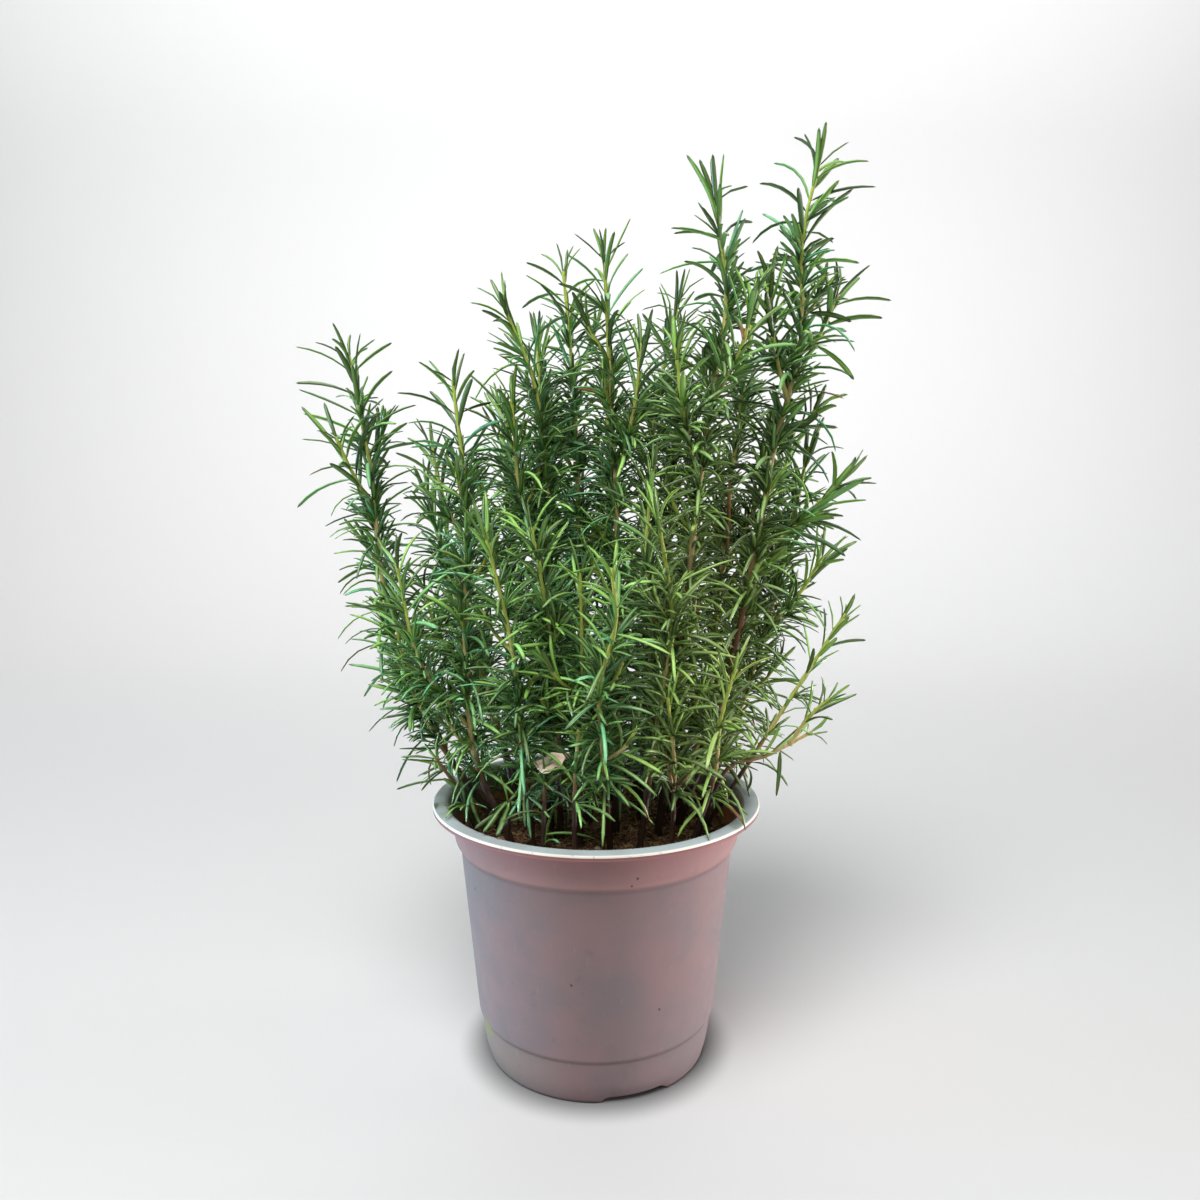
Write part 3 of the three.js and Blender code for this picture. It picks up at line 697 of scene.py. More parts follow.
YOUTH = (0.0, 0.15, 0.35)  # by the branch's level
FIRST_NEEDLE = 0.6
BUD = 6
BUD_INTERNODE = 2.8
UPPER_ZONE = 45
UPPER_INTERNODE = 1.1
PAIR_SWING = 16
NEEDLE_SWING = 14
GROWN = (0.56, 1, 0, 11)
SHORTER = (1, 0.84, 110, 250)
TWIG_NEEDLE = 0.8
SLIM = (1, 0.78, 20, 90)
FULL_WIDTH = (0.8, 1, 0, 12)
CLUSTERS = (0, 1, 16, 50)
CLUSTER_SIZES = (5, 6, 7, 8, 9)
RIPE = (0, 1, 0, 40)
DRY = (0, 0.025, 0, 90)
ARCH = (0, 34)
ARCH_STRAY = 50
ARCH_OLD = (0, 46, 0, 90)
SAG = (0, 0.12, 0, 110)
LEAN_UPPER = (8, 32, 0, 30)
LEAN_OLD = (0, 42, 25, 145)
LEAN_OUT = (15, 45)  # how much more some upper needles lean
LEAN_OUT_LEFT = (1, 0, 30, 120)
OUT_SHARE = 0.4
KEPT_BY_HEIGHT = (0.15, 1, 128, 162)  # share of its needles that the wood still has
KEPT_BY_AGE = (1, 0.15, 30, 60)
DROOP = (0, 48, 195, 135)  # how much more the lowest needles lean

# A needle's form: its stations from foot to tip, its width at the inner ones, and its section, with the
# section's points that are rolled edge, groove or underside.
LONG_FORM = dict(
    stations=np.array([0, 0.05, 0.2, 0.38, 0.58, 0.78, 0.95, 1]),
    widths=np.array([0.46, 0.86, 1.0, 1.0, 0.92, 0.58]),
    section=np.array([(1, -0.22), (0.62, 0.42), (0, 0.38), (-0.62, 0.42), (-1, -0.22), (0, -0.42)]),
    edge=[1, 0, 0, 0, 1, 0],
    groove=[0, 0, 1, 0, 0, 0],
    under=[0, 0, 0, 0, 0, 1])
SHORT_FORM = dict(
    stations=np.array([0, 0.1, 0.5, 0.9, 1]),
    widths=np.array([0.7, 1.0, 0.68]),
    section=np.array([(1, -0.12), (0, 0.5), (-1, -0.12), (0, -0.4)]),
    edge=[1, 0, 1, 0],
    groove=[0, 0.5, 0, 0],
    under=[0, 0, 0, 1])
END_LOOK = 0.3  # how much of edge, groove and underside a needle's two end points have
SHORT_NEEDLE = 20  # needles below this length have the short form
SHORT_CELL = 0.5  # a short needle's share of a long one's place in the texture
CELL_SHAPE = 4.5  # a needle's place in the texture is this many times as high as wide
CELL_INSET = np.array([0.08, 0.04])


def lean_at(below, draw):
    """A needle's angle from its wood: small near the tip, where some stand out, and wider on old wood."""
    lean = change(below, *LEAN_UPPER) + change(below, *LEAN_OLD)
    out = draw.uniform(*LEAN_OUT) if draw.random() < OUT_SHARE else 0
    return lean + out * change(below, *LEAN_OUT_LEFT) + draw.gauss(0, 10)


def spacing(below, internode, draw):
    """The way down to the next pair of needles."""
    if below < BUD:
        return BUD_INTERNODE * draw.uniform(0.8, 1.2)
    if below < UPPER_ZONE:
        return internode * UPPER_INTERNODE * draw.uniform(0.85, 1.15)
    return internode * draw.uniform(0.85, 1.2)


def needles_on(branch, stem, settings, draw):
    """Each needle as a dictionary of where it starts, how it lies and how old it is."""
    needles = []
    full_length = settings.needle_length / MM
    half_width = settings.needle_width / MM * stem["wide"] / 2
    below = FIRST_NEEDLE
    pair = draw.randrange(2)
    while below < branch.length - branch.bare:
        point, tangent, side = branch.at(below)
        grown = change(below, *GROWN) * change(below, *SHORTER) * stem["long"]
        if branch.level == 2:
            grown *= TWIG_NEEDLE
        slim = change(below, *SLIM) * change(below, *FULL_WIDTH)
        ripe = change(below, *RIPE) * (1 - YOUTH[branch.level])
        droop = change(point.z, *DROOP)
        kept = max(change(point.z, *KEPT_BY_HEIGHT), change(below, *KEPT_BY_AGE)) * stem["leafy"]
        quarter = pair * 90 + draw.uniform(-PAIR_SWING, PAIR_SWING)
        for half_turn in (0, 180):
            if draw.random() > kept and below > BUD:
                continue
            swing = draw.uniform(-NEEDLE_SWING, NEEDLE_SWING)
            azimuth = turned(side, tangent, quarter + half_turn + swing)
            needle = {
                "foot": point + azimuth * branch.radius_at(below) * 0.6,
                "along": tangent,
                "azimuth": azimuth,
                "angle": lean_at(below, draw) * stem["lean"] + droop * draw.random(),
                "arch": draw.uniform(*ARCH) + ARCH_STRAY * draw.random() ** 2
                        + change(below, *ARCH_OLD) * draw.random(),
                "length": full_length * grown * draw.uniform(0.76, 1.2),
                "half": half_width * slim * draw.uniform(0.8, 1.12),
                "twist": draw.gauss(0, 24),
                "sway": draw.gauss(0, 0.05),
                "sag": change(below, *SAG) * draw.random(),
                "ripe": ripe * draw.uniform(0.85, 1.1),
                "tone": draw.random(),
                "dry": draw.uniform(0.3, 1) if draw.random() < change(below, *DRY) else 0,
            }
            needles.append(needle)
            chance = settings.cluster * change(below, *CLUSTERS) * kept ** 2
            if branch.level < 2 and draw.random() < chance:
                needles.extend(cluster(needle, droop, full_length, half_width, draw))
        pair = 1 - pair
        below += spacing(below, settings.internode / MM, draw)
    return [needle for needle in needles if clear_needle(needle)]


def cluster(needle, droop, full_length, half_width, draw):
    """The short needles of a bud in one needle's axil."""
    made = []
    centre = draw.uniform(26, 44) + 0.7 * droop * draw.random()
    for _ in range(draw.choice(CLUSTER_SIZES)):
        azimuth = turned(needle["azimuth"], needle["along"], draw.uniform(-62, 62))
        made.append({
            **needle,
            "foot": needle["foot"] + needle["along"] * draw.uniform(0.6, 2.0),
            "azimuth": azimuth,
            "angle": centre + draw.uniform(-24, 34),
            "arch": draw.uniform(4, 60),
            "length": full_length * draw.uniform(0.34, 0.84),
            "half": half_width * draw.uniform(0.6, 0.86),
            "twist": draw.gauss(0, 22),
            "ripe": needle["ripe"] * draw.uniform(0.45, 0.9),
            "tone": draw.random(),
            "dry": 0,
        })
    return made


def loose_needle(foot, tip, settings):
    """A needle that hangs from its foot to its tip."""
    run = Vector(tip) - Vector(foot)
    return dict(
        foot=Vector(foot), along=run.normalized(), azimuth=run.orthogonal().normalized(), angle=-5, arch=10,
        length=run.length, half=settings.needle_width / MM / 2, twist=40, sway=0.03, sag=0, ripe=0.7,
        tone=0.3, dry=0)


def clear_needle(needle, room=1.6):
    """Leans a needle up where it would meet the pot, and says whether that is enough."""
    for lift in (0, 22, 44):
        angle = math.radians(needle["angle"] - lift)
        bend = angle + math.radians(needle["arch"])
        away = needle["along"] * math.cos(angle) + needle["azimuth"] * math.sin(angle)
        far = needle["along"] * math.cos(bend) + needle["azimuth"] * math.sin(bend)
        middle = needle["foot"] + away * needle["length"] * 0.5
        tip = middle + far * needle["length"] * 0.5
        tip.z -= needle["sag"] * needle["length"]
        if is_clear_of_pot(middle, room) and is_clear_of_pot(tip, room):
            needle["angle"] -= lift
            return True
    return False


def add_foliage(parts, needles):
    """Adds a stem's needles, long ones in one band of the texture and short ones in the next."""
    long = [needle for needle in needles if needle["length"] >= SHORT_NEEDLE]
    short = [needle for needle in needles if needle["length"] < SHORT_NEEDLE]
    split = lerp(WOOD_SHARE, 1, len(long) / (len(long) + SHORT_CELL * len(short)))
    add_needles(parts, long, LONG_FORM, WOOD_SHARE, split)
    add_needles(parts, short, SHORT_FORM, split, 1)


def add_needles(parts, needles, form, band_low, band_high):
    """Adds every needle as a closed leaf with rolled edges, a groove above and a rib below."""
    if not needles:
        return
    count = len(needles)
    stations, section = form["stations"], form["section"]
    rings, sides = stations[1:-1], len(section)

    def column(name):
        return np.array([needle[name] for needle in needles], float)

    foot, along, azimuth = column("foot"), column("along"), column("azimuth")
    angle, arch, twist = (np.radians(column(name))[:, None] for name in ("angle", "arch", "twist"))
    size = column("length")[:, None]
    bend = (angle + arch * (stations[1:] + stations[:-1]) / 2)[..., None]
    way = np.cos(bend) * along[:, None] + np.sin(bend) * azimuth[:, None]
    moves = way * (np.diff(stations) * size)[..., None]
    centre = np.concatenate([foot[:, None], foot[:, None] + np.cumsum(moves, axis=1)], axis=1)
    centre[..., 2] -= column("sag")[:, None] * stations ** 2 * size
    bend = (angle + arch * rings)[..., None]
    rise = np.sin(bend) * along[:, None] - np.cos(bend) * azimuth[:, None]
    sideways = np.cross(along, azimuth)[:, None]
    centre += sideways * (column("sway")[:, None] * size * stations ** 2)[..., None]
    roll = (twist * rings)[..., None]
    across = np.cos(roll) * sideways + np.sin(roll) * rise
    rise = np.cos(roll) * rise - np.sin(roll) * sideways
    wide = (column("half")[:, None] * form["widths"])[..., None, None]
    ring_points = centre[:, 1:-1, None] + wide * (
        section[:, 0, None] * across[:, :, None] + section[:, 1, None] * rise[:, :, None])
    points = np.concatenate([centre[:, :1], ring_points.reshape(count, -1, 3), centre[:, -1:]], axis=1)
    each = points.shape[1]

    run = np.concatenate([[0], np.repeat(rings, sides), [1]])
    facts = {name: np.repeat(column(name), each) for name in ("ripe", "tone", "dry")}
    for name in ("edge", "groove", "under"):
        facts[name] = np.tile([END_LOOK, *np.tile(form[name], len(rings)), END_LOOK], count)
    start = parts.add_points(points, run=np.tile(run, count), **facts)
    columns = math.ceil(math.sqrt(CELL_SHAPE * count))
    rows = math.ceil(count / columns)
    order = np.arange(count)[:, None, None]
    corner = np.stack([order % columns, order // columns], axis=-1)
    cell = np.array([1 / columns, (band_high - band_low) / rows])
    for faces, places in skin(len(rings), sides):
        on_cell = np.stack([places[..., 1] / sides, stations[places[..., 0].astype(int)]], axis=-1)
        uvs = (corner + CELL_INSET + on_cell * (1 - 2 * CELL_INSET)) * cell + [0, band_low]
        parts.add_faces(start, (faces + order * each).reshape(-1, faces.shape[1]), uvs)


# Shares of the painted highlight in the groove, the painted shade on the edges and the paler underside.
GROOVE_HIGHLIGHT_SHARE = 0.6
EDGE_SHADE_SHARE = 0.8
UNDER_SHARE = 0.35
NEEDLE_LIGHT = (0.33, 2.15)  # the darkest and the lightest needle, against the mean
NEEDLE_ROUGHNESS = (0.35, 0.75)  # above and below


def needle_material(settings):
    shade = Shade("rosemary_needle", 0.4)
    tone, run, dry, height = shade.fact("tone"), shade.fact("run"), shade.fact("dry"), shade.axis(2)
    old = shade.mix(shade.ramp(tone, 0.25, 0.95), settings.old_green, settings.deep_green)
    young = shade.mix(shade.ramp(height, 0.24, 0.34), settings.fresh_green, settings.young_green)
    low_right = shade.times(shade.near(shade.axis(0), 0.06, 0.06), shade.ramp(height, 0.40, 0.24))
    olive = shade.times(low_right, shade.ramp(tone, 0.0, 0.9, 0.2, 0.7))
    green = shade.layers(young, (shade.fact("ripe"), old), (olive, settings.olive_green))
    light = shade.ramp(shade.work_out("FRACT", shade.times(tone, 7.3)), 0.0, 1.0, *NEEDLE_LIGHT)
    grey = shade.node("ShaderNodeCombineColor", {0: light, 1: light, 2: light}).outputs[0]
    face = shade.layers(
        shade.mix(1.0, green, grey, "MULTIPLY"),
        # painted highlight along the groove
        (shade.times(shade.fact("groove"), GROOVE_HIGHLIGHT_SHARE), settings.groove_highlight),
        # painted shade along the rolled edges
        (shade.times(shade.fact("edge"), EDGE_SHADE_SHARE), settings.edge_shade),
        (shade.times(shade.fact("under"), UNDER_SHARE), settings.underside),
        (shade.ramp(run, 0.86, 1.0, 0.0, 0.75), TIP_DARK))
    from_tip = shade.ramp(shade.work_out("ADD", run, dry), 1.0, 1.3)
    face = shade.mix(shade.times(from_tip, shade.ramp(dry, 0.0, 0.2)), face, settings.withered)
    shade.bump(shade.noise(1400, 2), 0.00004, 0.5)
    return shade.paint(face, shade.ramp(shade.fact("under"), 0.0, 1.0, *NEEDLE_ROUGHNESS))


def wood_material(settings):
    shade = Shade("rosemary_wood", 0.7)
    ripe = shade.fact("ripe")
    bark = shade.layers(
        settings.tip,
        (shade.ramp(ripe, 0.08, 0.32), settings.young),
        (shade.ramp(ripe, 0.42, 0.78), settings.ripe),
        (shade.ramp(ripe, 0.7, 1.0), settings.old))
    streak = shade.noise(900, 4, 0.6, (1, 1, 0.12))
    bark = shade.mix(shade.ramp(streak, 0.35, 0.7, 0, 0.45), bark, shade.mix(0.6, bark, BARK_CRACK))
    shade.bump(streak, 0.0003, 0.7)
    return shade.paint(bark)


# Pot. Corners are (radius, height, fillet).

def rounded(corners, steps=5):
    """A profile of radius and height through the corners, with their fillets."""
    profile = [corners[0][:2]]
    for before, corner, after in zip(corners, corners[1:], corners[2:]):
        here = np.array(corner[:2], float)
        back, ahead = np.array(before[:2], float) - here, np.array(after[:2], float) - here
        reach = min(corner[2], 0.45 * np.hypot(*back), 0.45 * np.hypot(*ahead))
        start, end = here + back / np.hypot(*back) * reach, here + ahead / np.hypot(*ahead) * reach
        for step in range(steps + 1):
            t = step / steps
            profile.append(tuple((1 - t) ** 2 * start + 2 * t * (1 - t) * here + t * t * end))
    profile.append(corners[-1][:2])
    return profile


def divided(profile, longest):
    """The same profile with no straight run longer than the length given."""
    points = [profile[0]]
    for (r0, z0), (r1, z1) in zip(profile, profile[1:]):
        count = max(1, math.ceil(math.hypot(r1 - r0, z1 - z0) / longest))
        points.extend((lerp(r0, r1, k / count), lerp(z0, z1, k / count)) for k in range(1, count + 1))
    return points


def outer_wall():
    return [
        (BASE_RADIUS - BASE_CHAMFER * 0.5, 0, 1.2),
        (ANKLE_RADIUS, ANKLE_HEIGHT, 6),
        (FOOT_RADIUS, FOOT_HEIGHT - STEP_HALF, 0.5),
        (WALL_FOOT_RADIUS, FOOT_HEIGHT + STEP_HALF, 1.2),
        (WALL_TOP_RADIUS, SHOULDER_HEIGHT, 0.7),
        (SHOULDER_RADIUS, SHOULDER_HEIGHT + SHOULDER_STEP, 3),
        (SHOULDER_TOP_RADIUS, SHOULDER_TOP_HEIGHT, 3),
    ]


def pot_profile():
    lip_top = POT_HEIGHT - RIM_FALL
    inner = [(radius - WALL, height, fillet) for radius, height, fillet in outer_wall()[1:]]
    return rounded([
        (0, 0.4, 0),
        (CHANNEL_START - 4, 0, 2),
        *outer_wall(),
        (RIM_ROOT_RADIUS, POT_HEIGHT - RIM_THICKNESS - 0.3, 1.6),
        (RIM_RADIUS - RIM_THICKNESS, lip_top - RIM_THICKNESS, 0.4),
        (RIM_RADIUS - RIM_THICKNESS, lip_top - LIP_DROP, 0.4),
        (RIM_RADIUS, lip_top - LIP_DROP, 0.4),
        (RIM_RADIUS, lip_top, 0.9),
        (RIM_INNER_RADIUS, POT_HEIGHT, 2.2),
        *reversed(inner),
        (BASE_RADIUS - WALL, FLOOR, 2),
        (0, FLOOR, 0),
    ])


def channel_angles():
    return [math.radians(FIRST_CHANNEL_ANGLE + i * 360 / CHANNEL_COUNT) for i in range(CHANNEL_COUNT)]


def channel_lift(radius, angle, height):
    """How far a drain channel raises a point of the base."""
    lift = 0.0
    for off in (channel - angle for channel in channel_angles()):
        if math.cos(off) > 0:
            inward = ease(radius * math.cos(off), CHANNEL_START, CHANNEL_START + 4)
            sideways = ease(abs(radius * math.sin(off)), CHANNEL_WIDTH / 2 + 3.5, CHANNEL_WIDTH / 2 - 1)
            lift = max(lift, CHANNEL_DEPTH * inward * sideways)
    return lift * ease(height, ANKLE_HEIGHT, 0)


def turned_grid(profile, segments):
    """Rings of points round the axis, one for each point of the profile."""
    radii, heights = np.array(profile, float).T
    angles = steps_round(segments)
    spokes = np.stack([np.cos(angles), np.sin(angles)], axis=1)
    level = np.broadcast_to(heights[:, None, None], (len(radii), segments, 1))
    return np.concatenate([radii[:, None, None] * spokes, level], axis=2)


def add_turned(parts, grid, **facts):
    """Adds a closed turned skin. grid holds rings of points; its first and last ring lie on the axis."""
    rings, segments, _ = grid.shape
    points = np.concatenate([grid[0, :1], grid[1:-1].reshape(-1, 3), grid[-1, :1]])
    each = {
        name: np.concatenate([values[:1], np.repeat(values[1:-1], segments), values[-1:]])
        for name, values in facts.items()
    }
    parts.add_skin(points, rings - 2, segments, **each)


def make_pot(settings):
    profile = divided(pot_profile(), 5)
    grid = turned_grid(profile, settings.segments)
    heights = [height for _, height in profile]
    top = heights.index(max(heights))
    for ring in grid[1:top]:
        if ring[0, 2] < ANKLE_HEIGHT:
            for point in ring:
                x, y, z = point
                point[2] += channel_lift(math.hypot(x, y), math.atan2(y, x), z)
    inside = np.array([float(i > top + 3 and r < RIM_INNER_RADIUS - 0.8) for i, (r, _) in enumerate(profile)])
    parts = MeshParts("inside")
    add_turned(parts, grid, inside=inside)
    pot = parts.to_object("pot_shell", pot_material(settings))
    cut_drain_holes(pot)
    finish_piece(pot, "pot", "pot")


def cut_drain_holes(pot):
    """Cuts one round hole through the floor in each drain channel."""
    tools = bmesh.new()
    for angle in channel_angles():
        centre = Vector((math.cos(angle), math.sin(angle), 0)) * DRAIN_HOLE_PLACE * MM
        bmesh.ops.create_cone(
            tools, cap_ends=True, segments=32, radius1=DRAIN_HOLE_RADIUS * MM, radius2=DRAIN_HOLE_RADIUS * MM,
            depth=4 * FLOOR * MM, matrix=Matrix.Translation(centre))
    mesh = bpy.data.meshes.new("drain_holes")
    tools.to_mesh(mesh)
    tools.free()
    cutter = bpy.data.objects.new("drain_holes", mesh)
    bpy.context.scene.collection.objects.link(cutter)
    modifier = pot.modifiers.new("Drain holes", "BOOLEAN")
    modifier.object = cutter
    modifier.operation = "DIFFERENCE"
    modifier.solver = "EXACT"
    bpy.context.view_layer.update()
    cut = bpy.data.meshes.new_from_object(pot.evaluated_get(bpy.context.evaluated_depsgraph_get()))
    pot.modifiers.clear()
    pot.data = cut
    bpy.data.objects.remove(cutter)


# Marks on the pot, as places, and its lines of painted shade in the steps and of painted contact shadow along
# the base, as (height, half width, strength)
SHADE_LINES = [(0, 2.2, 0.9), (FOOT_HEIGHT - STEP_HALF, 1.5, 0.4), (SHOULDER_HEIGHT + 0.6, 2.6, 0.3)]
MOSS_PLACE = (-55.6, -25.9, 21.5)
NOTCH_PLACE = (-82, -19, 136.4)
STAIN_PLACE = (-81, -5, 136)
SPECK_PLACES = [(-59.8, -35.9, 100.1), (19.2, -71.8, 120.5), (16.6, -71.7, 116.6), (-11.5, -65.4, 65.3),
                (30.5, -57.3, 48.7)]
SPECK_SHARE = 0.8
NOTCH_SHARE = 0.75
LIP_SHADOW_SHARE = 0.6
POT_ROUGHNESS = (0.42, 0.58)


def wall_colour(shade, settings, cloud):
    """The outer wall: dusty rose with greyer patches, a redder band of painted shade under the flange, a
    beige foot, and painted shade in the steps and along the base.
    """
    height = shade.axis(2)
    left = shade.ramp(shade.axis(0), 0.0, -0.055, 0.0, 0.6)
    # painted shade under the flange, broken up by the mottling
    band = shade.times(shade.ramp(height, 0.112, 0.1155), shade.ramp(cloud, 0.2, 0.8, 1.0, 0.6))
    wall = shade.layers(
        settings.rose,
        (shade.ramp(cloud, 0.32, 0.68), settings.mottle),
        (band, settings.shoulder_shade),
        # painted shadow under the lip, fading downwards
        (shade.ramp(height, 0.119, 0.133, 0.0, 0.75), settings.under_lip_shadow),
        (shade.times(shade.ramp(height, 0.0255, 0.0235), left), settings.foot))
    # painted shade: dark lines in the foot's and the shoulder's steps, and contact shadow along the base
    for crease_shade_and_grime, width, strength in SHADE_LINES:
        line = shade.times(shade.near(height, crease_shade_and_grime * MM, width * MM), strength)
        wall = shade.mix(line, wall, settings.crease_shade_and_grime)
    specks = shade.times(shade.spots(34, 0.0007), shade.ramp(shade.noise(70, 2), 0.54, 0.6))
    for place in SPECK_PLACES:
        specks = shade.work_out("MAXIMUM", specks, shade.ramp(shade.distance(place), 0.0009, 0.0004))
    moss = shade.ramp(shade.distance(MOSS_PLACE, (1, 1, 0.6)), 0.0052, 0.0026)
    return shade.layers(
        wall,
        (shade.ramp(shade.noise(420, 6, 0.7, (1, 1, 0.35)), 0.6, 0.8, 0, 0.14), settings.lip),
        (shade.ramp(shade.noise(95, 5, 0.65), 0.58, 0.78, 0, 0.22), settings.crease_shade_and_grime),
        (shade.times(specks, SPECK_SHARE), SPECK),
        (shade.times(moss, shade.ramp(shade.noise(420, 4, 0.7), 0.36, 0.46)), settings.moss))


def rim_colour(shade, settings, cloud, wall):
    """The flange's top, painted cool grey as a reflection of the sky, with its stains, and the lip's cream
    edge, a painted highlight with some wear, over a thin painted shadow line.
    """
    height, radius = shade.axis(2), shade.reach()
    green = shade.ramp(shade.distance(STAIN_PLACE), 0.045, 0.01, 0.0, 0.55)
    notch = shade.ramp(shade.distance(NOTCH_PLACE, (1, 0.35, 0.5)), 0.0026, 0.001)
    # painted reflection of the sky on the flange's top, with real stains and a notch
    top = shade.layers(
        settings.flange,
        (shade.ramp(cloud, 0.4, 0.65, 0, 0.35), settings.mottle),
        (shade.times(green, shade.ramp(shade.noise(120, 4, 0.6), 0.4, 0.6, 0.35, 1.0)), settings.stain),
        (shade.times(notch, NOTCH_SHARE), settings.crease_shade_and_grime))
    lip_top = (POT_HEIGHT - RIM_FALL) * MM
    on_lip = shade.ramp(radius, 0.0842, 0.0845)
    # painted shadow line under the lip's top corner
    red = shade.times(on_lip, shade.near(height, lip_top - 0.0014, 0.0009))
    highlight_breaks = shade.ramp(shade.noise(240, 4, 0.7), 0.6, 0.66, 1.0, 0.3)
    # painted highlight along the lip's top corner, broken up by noise
    edge = shade.times(on_lip, shade.ramp(height, lip_top - 0.0012, lip_top - 0.0009))
    return shade.layers(
        wall,
        (shade.times(shade.ramp(radius, 0.0768, 0.0776), shade.ramp(height, 0.1352, 0.1356)), top),
        (shade.times(red, LIP_SHADOW_SHARE), settings.lip_shadow_line),
        (shade.times(edge, highlight_breaks), settings.lip))


def pot_material(settings):
    shade = Shade("pot_plastic", 0.5, 0.42)
    cloud = shade.noise(26, 4, 0.55)
    wall = rim_colour(shade, settings, cloud, wall_colour(shade, settings, cloud))
    # the inner wall: terracotta as painted warm bounce light, painted shade near the top, and damp stains
    inside = shade.layers(
        settings.inside,
        (shade.ramp(shade.axis(2), 0.119, 0.128), settings.inside_top_shade),
        (shade.ramp(shade.noise(60, 5, 0.6), 0.4, 0.65, 0, 0.45), DAMP_STAIN))
    grain = shade.noise(1600, 3, 0.6)
    shade.bump(shade.work_out("ADD", grain, shade.times(cloud, 2.0)), 0.00009, 0.4)
    return shade.paint(
        shade.mix(shade.fact("inside"), wall, inside), shade.ramp(cloud, 0.3, 0.7, *POT_ROUGHNESS))


# Soil and litter

LITTER_SEED = 19
SOIL_RINGS = 56
SOIL_SEGMENTS = 168
BARK_COUNT = 130
FIBRE_COUNT = 420
FIBRE_STEP = 1.5
CHIP_COUNT = 26
LARGE_CHIP = (1, -30)
LEAF_ROWS = 18
LEAF_COLUMNS = 9
LEAF_LENGTH = 18
LEAF_WIDTHS = (6.5, 3.2)
LEAF_THICKNESS = 0.35
LEAF_PLACE = (-19.5, -49, 168)
LEAF_LEAN = (48, -14, -6)
DEAD_TWIGS = [[(66, -10, 266), (66, -12, 284), (66, -12, 300)], [(49, -20, 230), (50, -24, 243)]]
DEAD_TWIG_RADIUS = 0.9


def soil_height(x, y):
    place = Vector((x, y, 0))
    lumps = noise.fractal(place / 17, 1.0, 2.0, 4) * 1.9
    crumbs = noise.fractal(place / 3.2 + Vector((40, 0, 0)), 0.9, 2.0, 3) * 0.8
    return SOIL_LEVEL + 0.3 + lumps + abs(crumbs)


def make_soil(settings):
    """The root ball: crumbly on top and plain where the pot hides it."""
    inner = [(radius - WALL - 0.4, height) for radius, height, _ in outer_wall()[1:5]]
    edge = [(SOIL_RADIUS - 0.4, SOIL_LEVEL - 3)]
    top = [(SOIL_RADIUS * (1 - k / SOIL_RINGS) ** 0.9, SOIL_LEVEL) for k in range(SOIL_RINGS + 1)]
    profile = [(0, FLOOR + 0.4), (BASE_RADIUS - 2, FLOOR + 0.4), *inner, *edge, *top]
    grid = turned_grid(profile, SOIL_SEGMENTS)
    for point in grid[-len(top):].reshape(-1, 3):
        point[2] = soil_height(point[0], point[1])
    parts = MeshParts("tone")
    add_turned(parts, grid)
    finish_piece(parts.to_object("soil_ball", soil_material(settings)), "soil", "soil")


def on_soil(draw, furthest=SOIL_RADIUS - 3):
    """A random point on the soil, as its place and height."""
    radius = furthest * math.sqrt(draw.random())
    angle = draw.uniform(0, math.tau)
    x, y = radius * math.cos(angle), radius * math.sin(angle)
    return Vector((x, y, soil_height(x, y)))


def add_lump(parts, place, size, draw):
    """A small angular lump: a stretched ball with its corners moved at random."""
    tone = draw.random()
    ball = bmesh.new()
    bmesh.ops.create_icosphere(ball, subdivisions=1, radius=1)
    turn = Euler([draw.uniform(0, math.tau) for _ in range(3)]).to_matrix()
    flat = Euler((draw.gauss(0, 0.35), draw.gauss(0, 0.35), draw.uniform(0, math.tau))).to_matrix()
    points = []
    for vert in ball.verts:
        rough = turn @ (vert.co * draw.uniform(0.72, 1.18))
        points.append(place + flat @ Vector([r * s for r, s in zip(rough, size)]))
    faces = [[vert.index for vert in face.verts] for face in ball.faces]
    ball.free()
    parts.add_faces(parts.add_points(points, tone=tone), faces)


def add_tube(parts, line, radius, sides, tone):
    """A closed tube of the radius given, pointed at both ends, along a line."""
    rings = []
    for i, (point, tangent) in enumerate(zip(line, tangents_of(line))):
        size = radius * (0.35 + 0.65 * math.sin(math.pi * (i + 0.5) / len(line)) ** 0.5)
        rings.append(ring_round(point, tangent, tangent.orthogonal().normalized(), np.full(sides, size)))
    parts.add_skin(np.concatenate([[line[0]], *rings, [line[-1]]]), len(line), sides, tone=tone)


def scatter_crumbs(settings, draw):
    parts = MeshParts("tone")
    for _ in range(settings.crumbs):
        width = draw.choice((0.5, 0.7, 0.9, 1.2, 1.7))
        size = (width, width * draw.uniform(0.6, 1), width * draw.uniform(0.5, 0.9))
        add_lump(parts, on_soil(draw) + Vector((0, 0, width * 0.3)), size, draw)
    return parts.to_object("soil_crumbs", soil_material(settings))


def scatter_bark(settings, draw):
    parts = MeshParts("tone")
    for _ in range(BARK_COUNT):
        long = draw.uniform(1.6, 4.6)
        size = (long, long * draw.uniform(0.3, 0.6), draw.uniform(0.35, 0.8))
        add_lump(parts, on_soil(draw, SOIL_RADIUS - 6) + Vector((0, 0, 0.6)), size, draw)
    return parts.to_object("bark_chips", litter_material("bark", settings.bark, settings.peat, 0.85))


